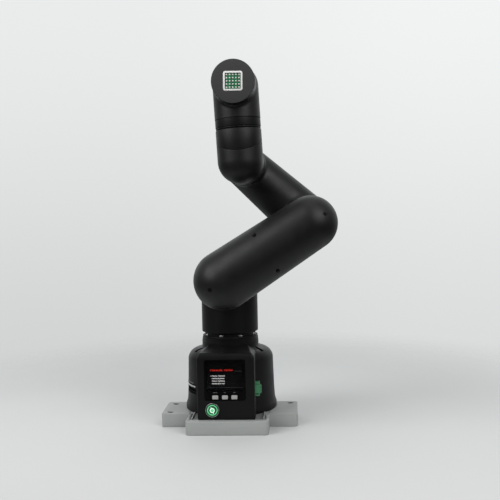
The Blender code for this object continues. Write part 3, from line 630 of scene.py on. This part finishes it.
def build_housing():
    """The base's cover, hollow, with its windows and slots."""
    shell = booleans(lathe(bell_outline(), FINE), "UNION", display_box(),
                     brick((-0.0300, 0.030, 0.0240), (0.0300, 0.0625, 0.0780), 0.0025, 4))
    window = DISPLAY_SIZE + 2 * GAP
    cutters = [lathe(bell_outline(WALL), MIDDLE), display_box(WALL),
               brick((-0.0265, 0.020, 0.0275), (0.0265, 0.0595, 0.0745))]
    shell = booleans(shell, "DIFFERENCE", *cutters)
    cutters = [rod(0.0270, 0.100, 0.125, MIDDLE),
               tile(window, window, 0.010, DISPLAY_CENTRE, -0.083, 0.0028),
               moved(rod(0.0083, 0.070, 0.085, MIDDLE), power_place()),
               brick((0.028, -0.0713, 0.0477), (0.045, -0.0577, 0.0661)),
               brick((-0.0273, 0.0602, 0.0267), (0.0273, 0.066, 0.0753)),
               brick((-0.0238, 0.055, 0.0302), (0.0238, 0.066, 0.0718)),
               moved(brick((-0.0153, -0.066, 0.0435), (0.0153, -0.052, 0.0515)),
                     tilt(SIDE_PORT_TURN, "Z"))]
    for sign in (-1, 1):
        slot = brick((-0.0070, -0.0022, -0.006), (0.0070, 0.0022, 0.004), 0.0008)
        mouth = brick((-0.0074, -0.0030, -0.0010), (0.0074, 0.0030, 0.004), 0.0008)
        place = slide(sign * 0.0424 - 0.0005, -0.0210, 0.1022)
        place = place @ tilt(sign * -50, "Z") @ tilt(sign * 16)
        cutters += [moved(slot, place), moved(mouth, place)]
    shell = booleans(shell, "DIFFERENCE", *cutters)
    detail("base_housing", shell, BLACK_SHADED, "base", None, "black_plastic", 30)


def lettering(width, height, centre, front, words, slant=0.0, depth=0.00008):
    """A line of made-up letters, each an upright stroke and a cross stroke, in words of given lengths."""
    x, z = centre
    pitch = width / (sum(words) + 0.7 * (len(words) - 1))
    strokes = []
    reach = x - width / 2
    levels = (0.36, -0.36, 0.05, 0.36, -0.1, -0.36, 0.2)
    for word, letters in enumerate(words):
        for letter in range(letters):
            level = levels[(3 * word + 2 * letter) % 7]
            middle = reach + pitch * 0.42
            strokes.append(tile(pitch * 0.34, height, depth, (reach + pitch * 0.20, z), front,
                                pitch * 0.08, segments=1))
            strokes.append(tile(pitch * 0.80, height * 0.30, depth * 0.9, (middle, z + level * height),
                                front, pitch * 0.08, segments=1))
            if letter % 2:
                strokes.append(tile(pitch * 0.30, height * 0.7, depth * 0.8,
                                    (reach + pitch * 0.68, z - height * 0.15), front, pitch * 0.08,
                                    segments=1))
            reach += pitch
        reach += pitch * 0.7
    shear = Matrix.Identity(4)
    shear[0][2] = slant
    return moved(gathered(*strokes), slide(0, 0, z) @ shear @ slide(0, 0, -z))


def build_display():
    """Display module, its glass, what the screen shows, and the buttons under it."""
    x, z = DISPLAY_CENTRE
    module = tile(DISPLAY_SIZE, DISPLAY_SIZE, 0.0135, DISPLAY_CENTRE, MODULE_FRONT, 0.0025, 0.0005)
    glass_centre = (x, z + 0.0052)
    width, height = BUTTON_SIZE
    cutters = [tile(0.0496, 0.0396, 0.0021, glass_centre, MODULE_FRONT - 0.0002, 0.0010)]
    cutters += [tile(width + 2 * GAP, height + 2 * GAP, 0.0060, (bx, BUTTON_HEIGHT), MODULE_FRONT - 0.001,
                     0.0013) for _, bx in BUTTON_PLACES]
    module = booleans(module, "DIFFERENCE", *cutters)
    detail("display_module", module, GLOSS_BLACK, "base", None, "black_plastic")
    glass = tile(0.0490, 0.0390, 0.0010, glass_centre, MODULE_FRONT, 0.0008, 0.00015)
    detail("display_glass", glass, GLASS, "base", None, "display_glass")
    lit = MODULE_FRONT + 0.0010 + GAP - 0.0001
    title = lettering(0.0305, 0.0022, (-0.0058, 0.0842), lit, (7, 5), 0.25)
    piece("screen_title", title, RED_LIGHT, "base")
    mark = lettering(0.0085, 0.0011, (0.0158, 0.0830), lit, (3, 4))
    piece("screen_mark", mark, GREY_PRINT, "base")
    rows = ((0.0172, (5, 6)), (0.0168, (11,)), (0.0172, (4, 6)), (0.0172, (8, 3)))
    lines = [lettering(length, 0.0015, (-0.0190 + length / 2, 0.0767 - 0.0034 * i), lit, words)
             for i, (length, words) in enumerate(rows)]
    pointer = brick((-0.0207, lit, 0.0762), (-0.0198, lit + 0.00008, 0.0772))
    piece("screen_menu", gathered(*lines, pointer), WHITE_LIGHT, "base")
    rule = brick((-0.0255, lit, 0.0611), (0.0215, lit + 0.00006, 0.0613))
    piece("screen_rule", rule, GREY_PRINT, "base")
    labels = [lettering(length, 0.0009, (bx, 0.0548), MODULE_FRONT - 0.00004, words, depth=0.00006)
              for (_, bx), length, words in zip(BUTTON_PLACES, (0.0058, 0.0024, 0.0030),
                                                ((4, 3), (3,), (4,)))]
    piece("button_labels", gathered(*labels), GREY_PRINT, "base")
    for side, bx in BUTTON_PLACES:
        collar = tile(width, height, 0.0040, (bx, BUTTON_HEIGHT), MODULE_FRONT - 0.0004, 0.0012, 0.0003)
        piece(f"menu_button_{side}_collar", collar, GLOSS_BLACK, f"menu_button_{side}")
        cap = tile(width - 0.0008, height - 0.0013, 0.0048, (bx, BUTTON_HEIGHT), MODULE_FRONT - 0.0010,
                   0.0011, 0.0006)
        piece(f"menu_button_{side}_detail", cap, BUTTON_GREY, f"menu_button_{side}", None,
              f"menu_button_{side}")


def build_power_button():
    """Lit push button: bezel, light rings, cap and its symbol."""
    place = power_place()
    face = POWER_FACE
    bezel = [(0.0084, face + 0.0016), (0.0089, face + 0.0024), (0.0097, face + 0.0013),
             (0.0097, face + GAP), (0.0080, face + GAP), (0.0080, face - 0.024), (0.0030, face - 0.024),
             (0.0030, face - 0.006), (0.0072, face - 0.006), (0.0072, face + 0.0004),
             (0.0079, face + 0.0006)]
    detail("power_button_barrel", lathe(eased(bezel, 0.0003, True), MIDDLE, True), BEZEL_STEEL, "base",
          place, "chrome")
    outer = [(0.0083, face + 0.0015), (0.0083, face + 0.0008), (0.0071, face + 0.0008),
             (0.0071, face + 0.0015)]
    piece("power_light_outer", lathe(eased(outer, 0.0001, True), MIDDLE, True), GREEN_DARK, "base", place)
    inner = [(0.0069, face + 0.0018), (0.0069, face - 0.0012), (0.0058, face - 0.0012),
             (0.0058, face + 0.0018)]
    detail("power_light_ring", lathe(eased(inner, 0.0002, True), MIDDLE, True), PALE_LIGHT, "base",
          place, "green_light")
    cap = [(0, face + 0.0026), (0.0040, face + 0.0025), (0.0049, face + 0.0018), (0.0049, face - 0.0030),
           (0, face - 0.0030)]
    detail("power_button_cap", lathe(eased(cap, 0.0004), MIDDLE), GREEN_DARK, "power_button", place,
          "green_light")
    ring = [(0.0034, face + 0.00268), (0.0034, face + 0.0024), (0.0020, face + 0.0024),
            (0.0020, face + 0.00272)]
    spokes = [moved(brick((0.0032, -0.0005, face + 0.0021), (0.0046, 0.0005, face + 0.00258), 0.0001),
                    tilt(angle, "Z")) for angle in (112, 292)]
    piece("power_button_centre", moved(rod(0.0019, 0.0020, 0.00268, SMALL, 0.0001), slide(0, 0, face)),
          PALE_LIGHT, "power_button", place)
    piece("power_button_symbol", gathered(lathe(ring, MIDDLE, True), *spokes), PALE_GREEN, "power_button",
          place)


def build_terminal():
    """Green terminal block: the stepped socket and the plug with its row of clamping screws."""
    right = BOX_CENTRE + BOX_HALF_WIDTH
    socket = brick((0.0330, -0.0710, 0.0480), (right + 0.0060, -0.0580, 0.0658), 0.0004)
    grooves = [brick((right + 0.0004, -0.0720, low), (right + 0.0070, -0.0700, high))
               for low, high in ((0.0499, 0.0515), (0.0634, 0.0642))]
    pocket = brick((0.0390, -0.0695, 0.0508), (0.060, -0.0595, 0.0620))
    socket = booleans(socket, "DIFFERENCE", pocket, *grooves)
    detail("terminal_socket", socket, GREEN_PLASTIC, "base", None, "green_plastic")
    # Dark green strips at the backs of the socket's grooves: painted shade in the grooves.
    groove_shade_strips = [brick((right + 0.0006, -0.07025, low), (right + 0.0057, -0.06995, high))
              for low, high in ((0.04995, 0.05145), (0.06345, 0.06415))]
    piece("terminal_groove_shade", gathered(*groove_shade_strips), GREEN_GROOVE_SHADE, "base")
    plug = brick((0.0393, -0.0692, 0.0511), (right + 0.0070, -0.0598, 0.0617), 0.0004)
    pitch = 0.0106 / 4
    levels = [0.0511 + pitch * (i + 0.5) for i in range(4)]
    lobes = [brick((0.0420, -0.0690, z - pitch * 0.37), (right + 0.0083, -0.0600, z + pitch * 0.37),
                   0.0005) for z in levels]
    wells = [moved(rod(0.0009, -0.001, 0.004), slide(right + 0.0068, -0.0645, z) @ tilt(90))
             for z in levels]
    mouths = [brick((right + 0.0012, -0.0700, z - 0.0008), (right + 0.0062, -0.0680, z + 0.0008), 0.0001)
              for z in levels]
    plug = booleans(booleans(plug, "UNION", *lobes), "DIFFERENCE", *wells, *mouths)
    detail("terminal_plug", plug, GREEN_PLASTIC, "base", None, "green_plastic")
    screws = gathered(*[moved(rod(0.00078, 0, 0.0014, SMALL, 0.0001),
                              slide(right + 0.0068, -0.0645, z) @ tilt(90)) for z in levels])
    piece("terminal_screws", screws, STEEL, "base")
    clamps = gathered(*[brick((right + 0.0016, -0.0686, z - 0.0006),
                              (right + 0.0058, -0.0676, z + 0.0006), 0.0001) for z in levels])
    piece("terminal_clamps", clamps, STEEL, "base")


def wrapped(start, end, count, low, high):
    """Thin printed marks round the bell between two heights: angles in degrees from the front."""
    steps = 24
    marks = []
    for mark in range(count):
        first = start + (end - start) * mark / count
        span = (end - start) / count * (0.72 if count > 1 else 1.0)
        bm = bmesh.new()
        grid = []
        for i in range(steps + 1):
            angle = math.radians(first + span * i / steps - 90)
            column = []
            for reach in (0.00005, 0.00030):
                for z in (low, high):
                    radius = BELL_RADIUS + (0.0875 - z) * 0.0252 + 0.0001 - reach + 0.00025
                    column.append(bm.verts.new((radius * math.cos(angle), radius * math.sin(angle), z)))
            grid.append(column)
        for a, b in zip(grid, grid[1:]):
            for i, j in ((0, 1), (1, 3), (3, 2), (2, 0)):
                bm.faces.new((a[i], b[i], b[j], a[j]))
        bm.faces.new((grid[0][0], grid[0][1], grid[0][3], grid[0][2]))
        bm.faces.new((grid[-1][0], grid[-1][2], grid[-1][3], grid[-1][1]))
        bmesh.ops.recalc_face_normals(bm, faces=bm.faces[:])
        marks.append(bm)
    return gathered(*marks)


def build_ports():
    """Left flank port with its print, and the rear panel with its ports."""
    turn = tilt(SIDE_PORT_TURN, "Z")
    port = brick((-0.0150, -0.0584, 0.0438), (0.0150, -0.0500, 0.0512), 0.0003)
    slot = brick((-0.0132, -0.064, 0.0456), (0.0132, -0.0545, 0.0494), 0.0005)
    port = booleans(port, "DIFFERENCE", slot)
    detail("side_port", port, DARK_RECESS, "base", turn, "black_steel")
    pins = [brick((x - 0.0003, -0.0575, z - 0.0003), (x + 0.0003, -0.0544, z + 0.0003), 0.0001)
            for x in np.linspace(-0.0120, 0.0120, 13) for z in (0.0466, 0.0484)]
    piece("side_port_pins", gathered(*pins), DARK_RECESS, "base", turn)
    for name, start, end, height, low, high, material in (
            ("side_label_text", -86, -49, 9, 0.0528, 0.0547, PALE_PRINT),
            ("side_label_band", -87, -48, 1, 0.0556, 0.0568, DARK_RECESS),
            ("side_label_small", -84, -54, 10, 0.0575, 0.0585, GREY_PRINT)):
        piece(name, wrapped(start, end, height, low, high), material, "base", None)
    panel = brick((-0.0270, 0.0605, 0.0270), (0.0270, 0.0625, 0.0750), 0.0004)
    ports = (("network_port", -0.0150, 0.0580, 0.0160, 0.0136),
             ("usb_port_upper", 0.0100, 0.0660, 0.0146, 0.0070),
             ("usb_port_lower", 0.0100, 0.0530, 0.0146, 0.0070))
    holes, tongues = [], []
    for name, x, z, width, height in ports:
        low, high = (x - width / 2, z - height / 2), (x + width / 2, z + height / 2)
        holes.append(brick((low[0] - GAP, 0.058, low[1] - GAP), (high[0] + GAP, 0.066, high[1] + GAP)))
        shell = brick((low[0], 0.0500, low[1]), (high[0], 0.0631, high[1]), 0.0004)
        mouth = brick((low[0] + 0.0010, 0.0560, low[1] + 0.0010),
                      (high[0] - 0.0010, 0.066, high[1] - 0.0010))
        shell = booleans(shell, "DIFFERENCE", mouth)
        piece(f"{name}_detail", shell, STEEL, "base", None, name)
        rise = 0.0012 if height > 0.010 else 0.0006
        tongues.append(brick((x - width * 0.32, 0.0561, z - rise),
                             (x + width * 0.32, 0.0618, z + rise), 0.0002))
    inlet_place = slide(-0.0130, 0, 0.0385) @ FRONTWARD
    holes.append(moved(rod(0.0063, -0.066, -0.058, MIDDLE), inlet_place))
    detail("rear_port_panel", booleans(panel, "DIFFERENCE", *holes), ALUMINIUM_DARK, "base", None,
          "aluminium")
    piece("rear_port_tongues", gathered(*tongues), BLACK, "base")
    inlet = [(0, -0.0480), (0.0060, -0.0480), (0.0060, -0.0645), (0.0032, -0.0645), (0.0032, -0.0575),
             (0, -0.0575)]
    detail("power_inlet", lathe(eased(inlet, 0.0004), MIDDLE), BLACK, "base", inlet_place,
          "black_plastic")
    piece("power_inlet_pin", rod(0.0008, -0.0635, -0.0573, SMALL, 0.0002), GOLD, "base", inlet_place)


# ----------------------------------------------------------------------------------------------- arm


def socket_head(radius, depth, key):
    """A cap screw's head facing +Z, its top at height 0, with a six-sided socket."""
    head = lathe(eased([(0, 0), (radius, 0), (radius, -depth), (0, -depth)], radius * 0.15), SMALL)
    return booleans(head, "DIFFERENCE", rod(key, -depth * 0.55, 0.001, 6))


def build_column():
    """Turning flange with its ring of screws, and the column's housing and rear cap."""
    floor = NECK_TOP + GAP
    flange = [(0, 0.1259), (0.0352, 0.1259), (0.0356, 0.1255), (0.0356, floor + 0.0013),
              (0.0384, floor + 0.0011), (0.0386, floor + 0.0008), (0.0386, floor), (0.0255, floor),
              (0.0255, 0.1036), (0, 0.1036)]
    foot = lathe(flange, FINE)
    pockets, heads = [], []
    for i in range(8):
        angle = math.radians(-106 + 45 * i)
        spot = slide(0.0338 * math.cos(angle), 0.0338 * math.sin(angle), 0)
        pockets.append(moved(rod(0.0037, floor + 0.0012, 0.1245, MIDDLE), spot))
        heads.append((i + 1, spot))
    detail("shoulder_flange", booleans(foot, "DIFFERENCE", *pockets), BLACK_SHADED, "shoulder", None,
          "black_plastic")
    for i, spot in heads:
        head = socket_head(0.0034, 0.0026 - 0.0005, 0.0015)
        piece(f"shoulder_flange_screw_{i}_detail", head, STEEL, "shoulder", spot @ slide(0, 0, 0.1236),
              f"shoulder_flange_screw_{i}")
    top = SHOULDER_HEIGHT
    shape = melted(0.006, bar((0, 0, 0.05), (0, 0, top), SHOULDER_RADIUS),
                   bar((0, 0, top), (0, -0.08, top), SHOULDER_RADIUS - HUB_STEP))
    low, high = (-0.043, -0.050, 0.118), (0.043, 0.043, 0.248)
    split, cap_foot = 0.0240, 0.1745
    shell = sliced(shelled(shape, low, high), (0, REAR_HUB_END, 0), (0, -1, 0), 0.0006)
    shell = sliced(shell, (0, 0, 0.1262), (0, 0, -1), 0.0008)
    corner = brick((-0.05, split, cap_foot), (0.05, 0.06, 0.26))
    shell = booleans(shell, "DIFFERENCE", corner)
    detail("shoulder_housing", shell, BLACK_SHADED, "shoulder", None, "black_plastic")
    cap = sliced(shelled(shape, (-0.043, 0.0, 0.16), high), (0, split + GAP, 0), (0, -1, 0))
    cap = sliced(cap, (0, 0, cap_foot + GAP), (0, 0, -1))
    detail("shoulder_rear_cap", cap, BLACK_SHADED, "shoulder", None, "black_plastic")


def flange_disc(radius):
    """Thin disc between two links, with rounded rims and a hollow boss."""
    rear, front = -FLANGE_FACES[0], -FLANGE_FACES[1]
    outline = [(radius, front), (radius, rear), (0.0160, rear), (0.0160, rear - 0.0050),
               (0.0090, rear - 0.0050), (0.0090, front)]
    return lathe(eased(outline, 0.0003, True), FINE, True)


def build_upper_arm():
    """Upper arm in the front plane with its screwed cover, and the flanges at both ends."""
    low, high = UPPER_ARM_RADII
    length, plane = UPPER_ARM_LENGTH, FRONT_PLANE
    rail = bar((0, plane, 0), (0, plane, length), low, high)
    shape = melted(0.007, rail,
                   bar((0, plane, 0), (0, 0, 0), low - HUB_STEP),
                   bar((0, plane, length), (0, 0, length), high - HUB_STEP))
    box = (-0.042, -0.131, -0.042), (0.042, -0.040, length + 0.039)
    split = plane - 0.004
    shell = sliced(shelled(shape, *box), (0, split, 0), (0, -1, 0), 0.0003)
    shell = sliced(shell, (0, FRONT_HUB_END, 0), (0, 1, 0), 0.0006)
    detail("upper_arm_shell", shell, BLACK, "upper_arm", UPPER_ARM, "black_plastic")
    cover = sliced(shelled(lambda points: rail(points)[0], box[0], (0.042, split + 0.004, box[1][2])),
                   (0, split - GAP, 0), (0, 1, 0), 0.0003)
    middle = length / 2
    spots = ((0, -0.0842, 0.0329), (0, 0.0890, 0.0282), (-0.0270, 0, 0.0232), (0.0270, 0, 0.0232))
    holes = []
    for i, (x, z, rise) in enumerate(spots):
        place = slide(x, 0, middle + z) @ FRONTWARD
        holes.append(moved(rod(0.0026, 0.100, 0.140), place))
        head = socket_head(0.0022, 0.0022, 0.0012)
        piece(f"upper_arm_cover_screw_{i + 1}_detail", head, BLACK_STEEL, "upper_arm",
              UPPER_ARM @ place @ slide(0, 0, rise - plane), f"upper_arm_cover_screw_{i + 1}")
    cover = booleans(cover, "DIFFERENCE", *holes)
    detail("upper_arm_cover", cover, BLACK, "upper_arm", UPPER_ARM, "black_plastic")
    for name, height, radius in (("upper_arm_flange", 0, 0.0362), ("elbow_flange", length, 0.0330)):
        piece(f"{name}_detail", flange_disc(radius), ALUMINIUM_DARK, "upper_arm",
              UPPER_ARM @ slide(0, 0, height) @ FRONTWARD, name)


def build_forearm():
    """Forearm in the rear plane, with its rear cover."""
    low, high = FOREARM_RADII
    length = FOREARM_LENGTH
    rail = bar((0, 0, 0), (0, 0, length), low, high)
    shape = melted(0.007, rail,
                   bar((0, 0, 0), (0, -0.08, 0), low - HUB_STEP),
                   bar((0, 0, length), (0, -0.08, length), high - HUB_STEP))
    box = (-0.039, -0.050, -0.039), (0.039, 0.039, length + 0.033)
    split = 0.0060
    shell = sliced(shelled(shape, *box), (0, split, 0), (0, 1, 0), 0.0003)
    shell = sliced(shell, (0, REAR_HUB_END, 0), (0, -1, 0), 0.0006)
    detail("forearm_shell", shell, BLACK, "forearm", FOREARM, "black_plastic")
    cover = sliced(shelled(lambda points: rail(points)[0], (box[0][0], split - 0.004, box[0][2]), box[1]),
                   (0, split + GAP, 0), (0, -1, 0), 0.0003)
    detail("forearm_cover", cover, BLACK, "forearm", FOREARM, "black_plastic")


def build_wrist():
    """Wrist elbow and the tube above it, split on a slope, and the flange behind."""
    radius, top, plane = WRIST_RADIUS, 0.0399, FRONT_PLANE
    shape = melted(0.006, bar((0, plane, 0), (0, plane, 0.09), radius),
                   bar((0, plane, 0), (0, 0, 0), radius - HUB_STEP))
    slope = tilt(27, "X").to_3x3() @ Vector((0, 0, 1))
    seam = Vector((0, plane, 0.0270))
    elbow = shelled(shape, (-0.033, -0.122, -0.033), (0.033, -0.040, 0.055), 0.0026)
    elbow = sliced(elbow, (0, FRONT_HUB_END, 0), (0, 1, 0), 0.0006)
    elbow = sliced(elbow, seam, slope, 0.0004)
    elbow = sliced(elbow, (0, plane, top), (0, 0, 1), 0.0003)
    detail("wrist_elbow", elbow, BLACK, "wrist", WRIST, "black_plastic")
    rim = [(radius - 0.0026, -0.005), (radius - 0.0026, top - 0.0004), (radius - 0.0022, top),
           (radius - 0.0008, top), (radius - 0.0002, top - 0.0004), (radius, top - 0.0014),
           (radius, -0.005)]
    sleeve = moved(lathe(rim, FINE, True), slide(0, plane, 0))
    sleeve = sliced(sleeve, seam + slope * GAP, -slope, 0.0004)
    detail("wrist_tube", sleeve, BLACK, "wrist", WRIST, "black_plastic")
    detail("wrist_flange", flange_disc(0.0275), ALUMINIUM_DARK, "wrist", WRIST @ FRONTWARD,
          "aluminium")


def build_tool_joint():
    """Collar, crossing housing, round cap and light matrix."""
    radius, barrel, height = WRIST_RADIUS, TOOL_BARREL_RADIUS, TOOL_AXIS_HEIGHT
    collar = [(radius - 0.0006, 0.0533), (radius - 0.0002, 0.0529), (radius - 0.0002, 0.0432),
              (radius - 0.0010, 0.0429), (radius - 0.0010, 0.0424), (radius - 0.0005, 0.0422),
              (radius - 0.0005, 0.0411), (radius - 0.0012, 0.0408), (radius - 0.0012, 0.0402),
              (0.0225, 0.0402), (0.0225, 0.0533)]
    detail("wrist_collar", lathe(eased(collar, 0.00012, True), FINE, True), BLACK_SHADED, "tool_joint",
          TOOL_JOINT, "black_plastic")
    tick = brick((-0.0004, -radius + 0.0001, 0.0434), (0.0004, -radius + 0.0007, 0.0462), 0.0001)
    piece("alignment_tick", tick, DARK_RECESS, "tool_joint", TOOL_JOINT)
    front, rear = -0.0416, 0.0510
    shape = melted(0.005, bar((0, 0, 0.02), (0, 0, height), radius),
                   bar((0, -0.08, height), (0, 0.09, height), barrel))
    housing = shelled(shape, (-0.033, -0.050, 0.046), (0.033, 0.058, height + 0.033), 0.0026)
    housing = sliced(housing, (0, front, 0), (0, -1, 0))
    housing = sliced(housing, (0, rear, 0), (0, 1, 0))
    housing = sliced(housing, (0, 0, 0.0536), (0, 0, -1), 0.0004)
    detail("tool_housing", housing, BLACK, "tool_joint", TOOL_JOINT, "black_plastic")
    face, centre = -0.0449, (0, height)
    across = slide(0, 0, height) @ FRONTWARD
    cap = lathe(eased([(0, 0.0449), (0.0270, 0.0449), (0.0270, 0.0419), (0, 0.0419)], 0.0006), FINE)
    turned = slide(0, 0, height) @ tilt(MATRIX_TURN) @ slide(0, 0, -height)
    cap = booleans(moved(cap, across), "DIFFERENCE",
                   moved(tile(0.0246, 0.0246, 0.012, centre, face - 0.002, 0.0030), turned))
    detail("disc_cap", cap, DISC_GREY, "tool_joint", TOOL_JOINT, "dark_plastic")
    rim = booleans(tile(0.0240, 0.0240, 0.0040, centre, face - 0.0004, 0.0027, 0.0004), "DIFFERENCE",
                   tile(0.0196, 0.0196, 0.012, centre, face - 0.003, 0.0008))
    place = TOOL_JOINT @ turned
    detail("matrix_frame", rim, WHITE_PLASTIC, "tool_joint", place, "white_plastic")
    board = tile(0.0190, 0.0190, 0.0016, centre, face + 0.0010, 0.0005)
    detail("matrix_board", board, BOARD_GREEN, "tool_joint", place, "circuit_board")
    leds, windows, pads = [], [], []
    for column, row in itertools.product(range(5), repeat=2):
        x, z = 0.00385 * (column - 2), height + 0.00385 * (row - 2)
        leds.append(tile(0.0018, 0.0018, 0.0009, (x, z), face + 0.0002, 0.0002, 0.00012, 2))
        windows.append(tile(0.0012, 0.0012, 0.0002, (x, z), face + 0.0001, 0.0003, 0.00005, 3))
        pads.append(tile(0.0023, 0.0004, 0.00008, (x, z - 0.00050), face + 0.00093, 0.0001, segments=2))
    piece("matrix_lights", gathered(*leds), LED_BODY, "tool_joint", place)
    piece("matrix_lenses", gathered(*windows), LED_LENS, "tool_joint", place)
    piece("matrix_pads", gathered(*pads), STEEL, "tool_joint", place)


def build_tool_flange():
    """Turning output flange with its screw holes, pin hole and centre bore."""
    face, back = -TOOL_FACE_OFFSET, -0.0513
    outline = [(0, -0.0445), (0.0147, -0.0445), (0.0147, back), (0.0245, back), (0.0245, face),
               (0.0080, face), (0.0080, face + 0.0030), (0, face + 0.0030)]
    flange = lathe(eased(outline, 0.0006), FINE)
    holes = []
    for i in range(4):
        angle = math.radians(45 + 90 * i)
        place = slide(0.01575 * math.cos(angle), 0.01575 * math.sin(angle), 0)
        holes.append(moved(rod(0.0021, face - 0.002, face + 0.0080), place))
    holes.append(moved(rod(0.0015, face - 0.002, face + 0.0050), slide(0.01575, 0, 0)))
    flange = booleans(flange, "DIFFERENCE", *holes)
    detail("tool_flange", flange, ALUMINIUM, "tool", TOOL @ FRONTWARD, "aluminium")


# --------------------------------------------------------------------------------------------- stage


def build_stage():
    """Pale floor that fades into the backdrop, soft lights and the camera."""
    scene = bpy.context.scene
    bm = bmesh.new()
    bmesh.ops.create_circle(bm, cap_ends=True, radius=6.0, segments=96)
    mesh = bpy.data.meshes.new("floor")
    bm.to_mesh(mesh)
    bm.free()
    mesh.materials.append(FLOOR_WHITE)
    floor = bpy.data.objects.new("floor", mesh)
    floor.location.z = -0.0002
    scene.collection.objects.link(floor)
    nodes, links = FLOOR_WHITE.node_tree.nodes, FLOOR_WHITE.node_tree.links
    where = nodes.new("ShaderNodeTexCoord")
    length = nodes.new("ShaderNodeVectorMath")
    length.operation = "DISTANCE"
    length.inputs[1].default_value = FLOOR_CENTRE
    links.new(where.outputs["Object"], length.inputs[0])
    fade = nodes.new("ShaderNodeMapRange")
    fade.interpolation_type = "SMOOTHSTEP"
    fade.inputs["From Min"].default_value = 0.28
    fade.inputs["From Max"].default_value = 0.75
    links.new(length.outputs["Value"], fade.inputs["Value"])
    clear = nodes.new("ShaderNodeBsdfTransparent")
    mix = nodes.new("ShaderNodeMixShader")
    output = nodes["Material Output"]
    links.new(fade.outputs["Result"], mix.inputs["Fac"])
    links.new(nodes["Principled BSDF"].outputs["BSDF"], mix.inputs[1])
    links.new(clear.outputs["BSDF"], mix.inputs[2])
    links.new(mix.outputs["Shader"], output.inputs["Surface"])

    world = bpy.data.worlds.new("studio")
    world.use_nodes = True
    nodes, links = world.node_tree.nodes, world.node_tree.links

    def ramp(source, low, high, start, end):
        node = nodes.new("ShaderNodeMapRange")
        node.interpolation_type = "SMOOTHSTEP"
        for name, value in (("From Min", low), ("From Max", high), ("To Min", start), ("To Max", end)):
            node.inputs[name].default_value = value
        links.new(source, node.inputs["Value"])
        return node.outputs["Result"]

    def total(first, second, operation="ADD"):
        node = nodes.new("ShaderNodeMath")
        node.operation = operation
        links.new(first, node.inputs[0])
        links.new(second, node.inputs[1])
        return node.outputs[0]

    towards = nodes.new("ShaderNodeSeparateXYZ")
    links.new(nodes.new("ShaderNodeTexCoord").outputs["Generated"], towards.inputs[0])
    room = nodes["Background"]
    room.inputs["Color"].default_value = (0.97, 0.99, 1.0, 1)
    behind = total(ramp(towards.outputs["Y"], 0.10, 0.95, 0.05, 0.95),
                   ramp(towards.outputs["Z"], -0.30, 0.08, 0.25, 1.0), "MULTIPLY")
    links.new(total(behind, ramp(towards.outputs["Z"], -0.04, 0.34, 0.0, 0.26)), room.inputs["Strength"])
    backdrop = nodes.new("ShaderNodeBackground")
    backdrop.inputs["Color"].default_value = (0.985, 1.0, 0.998, 1)
    links.new(total(ramp(towards.outputs["Z"], -0.25, 0.30, 0.675, 0.875),
                    ramp(towards.outputs["X"], -0.25, 0.22, -0.035, 0.03)), backdrop.inputs["Strength"])
    seen = nodes.new("ShaderNodeLightPath")
    choice = nodes.new("ShaderNodeMixShader")
    links.new(seen.outputs["Is Camera Ray"], choice.inputs["Fac"])
    links.new(room.outputs[0], choice.inputs[1])
    links.new(backdrop.outputs[0], choice.inputs[2])
    links.new(choice.outputs[0], nodes["World Output"].inputs["Surface"])
    scene.world = world
    scene.view_settings.view_transform = "Standard"

    def soft_light(name, azimuth, elevation, distance, size, power):
        """Tall soft panel aimed at the arm's middle, azimuth in degrees to the right of the camera."""
        aim = Vector((0, -0.03, 0.27))
        turn = math.radians(azimuth - 90), math.radians(elevation)
        away = Vector((math.cos(turn[0]) * math.cos(turn[1]), math.sin(turn[0]) * math.cos(turn[1]),
                       math.sin(turn[1])))
        data = bpy.data.lights.new(name, "AREA")
        data.shape = "RECTANGLE"
        data.size, data.size_y = size
        data.energy = power
        lamp = bpy.data.objects.new(name, data)
        lamp.location = aim + away * distance
        lamp.rotation_euler = (-away).to_track_quat("-Z", "Y").to_euler()
        scene.collection.objects.link(lamp)

    soft_light("left_panel", -52, 31, 1.7, (1.05, 1.15), 18.5)
    soft_light("right_panel", 42, 31, 1.7, (0.95, 1.10), 14.5)
    soft_light("top_panel", 0, 82, 1.6, (1.4, 1.2), 4.5)

    data = bpy.data.cameras.new("camera")
    data.lens = CAMERA_LENS
    data.sensor_width = 36.0
    camera = bpy.data.objects.new("camera", data)
    heading, pitch, roll = (math.radians(angle) for angle in CAMERA_ANGLES)
    ahead = Vector((math.sin(heading) * math.cos(pitch), math.cos(heading) * math.cos(pitch),
                    -math.sin(pitch)))
    right = Vector((math.cos(heading), -math.sin(heading), 0))
    up = right.cross(ahead)
    right_rolled = right * math.cos(roll) + up * math.sin(roll)
    up_rolled = up * math.cos(roll) - right * math.sin(roll)
    turn = Matrix((right_rolled, up_rolled, -ahead)).transposed()
    camera.matrix_world = Matrix.Translation(CAMERA_PLACE) @ turn.to_4x4()
    scene.collection.objects.link(camera)
    scene.camera = camera


build_plate()
build_housing()
build_display()
build_power_button()
build_terminal()
build_ports()
build_column()
build_upper_arm()
build_forearm()
build_wrist()
build_tool_joint()
build_tool_flange()
for node, material in CAD_FINISHES.items():
    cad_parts[node].data.materials.clear()
    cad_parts[node].data.materials.append(material)
build_stage()
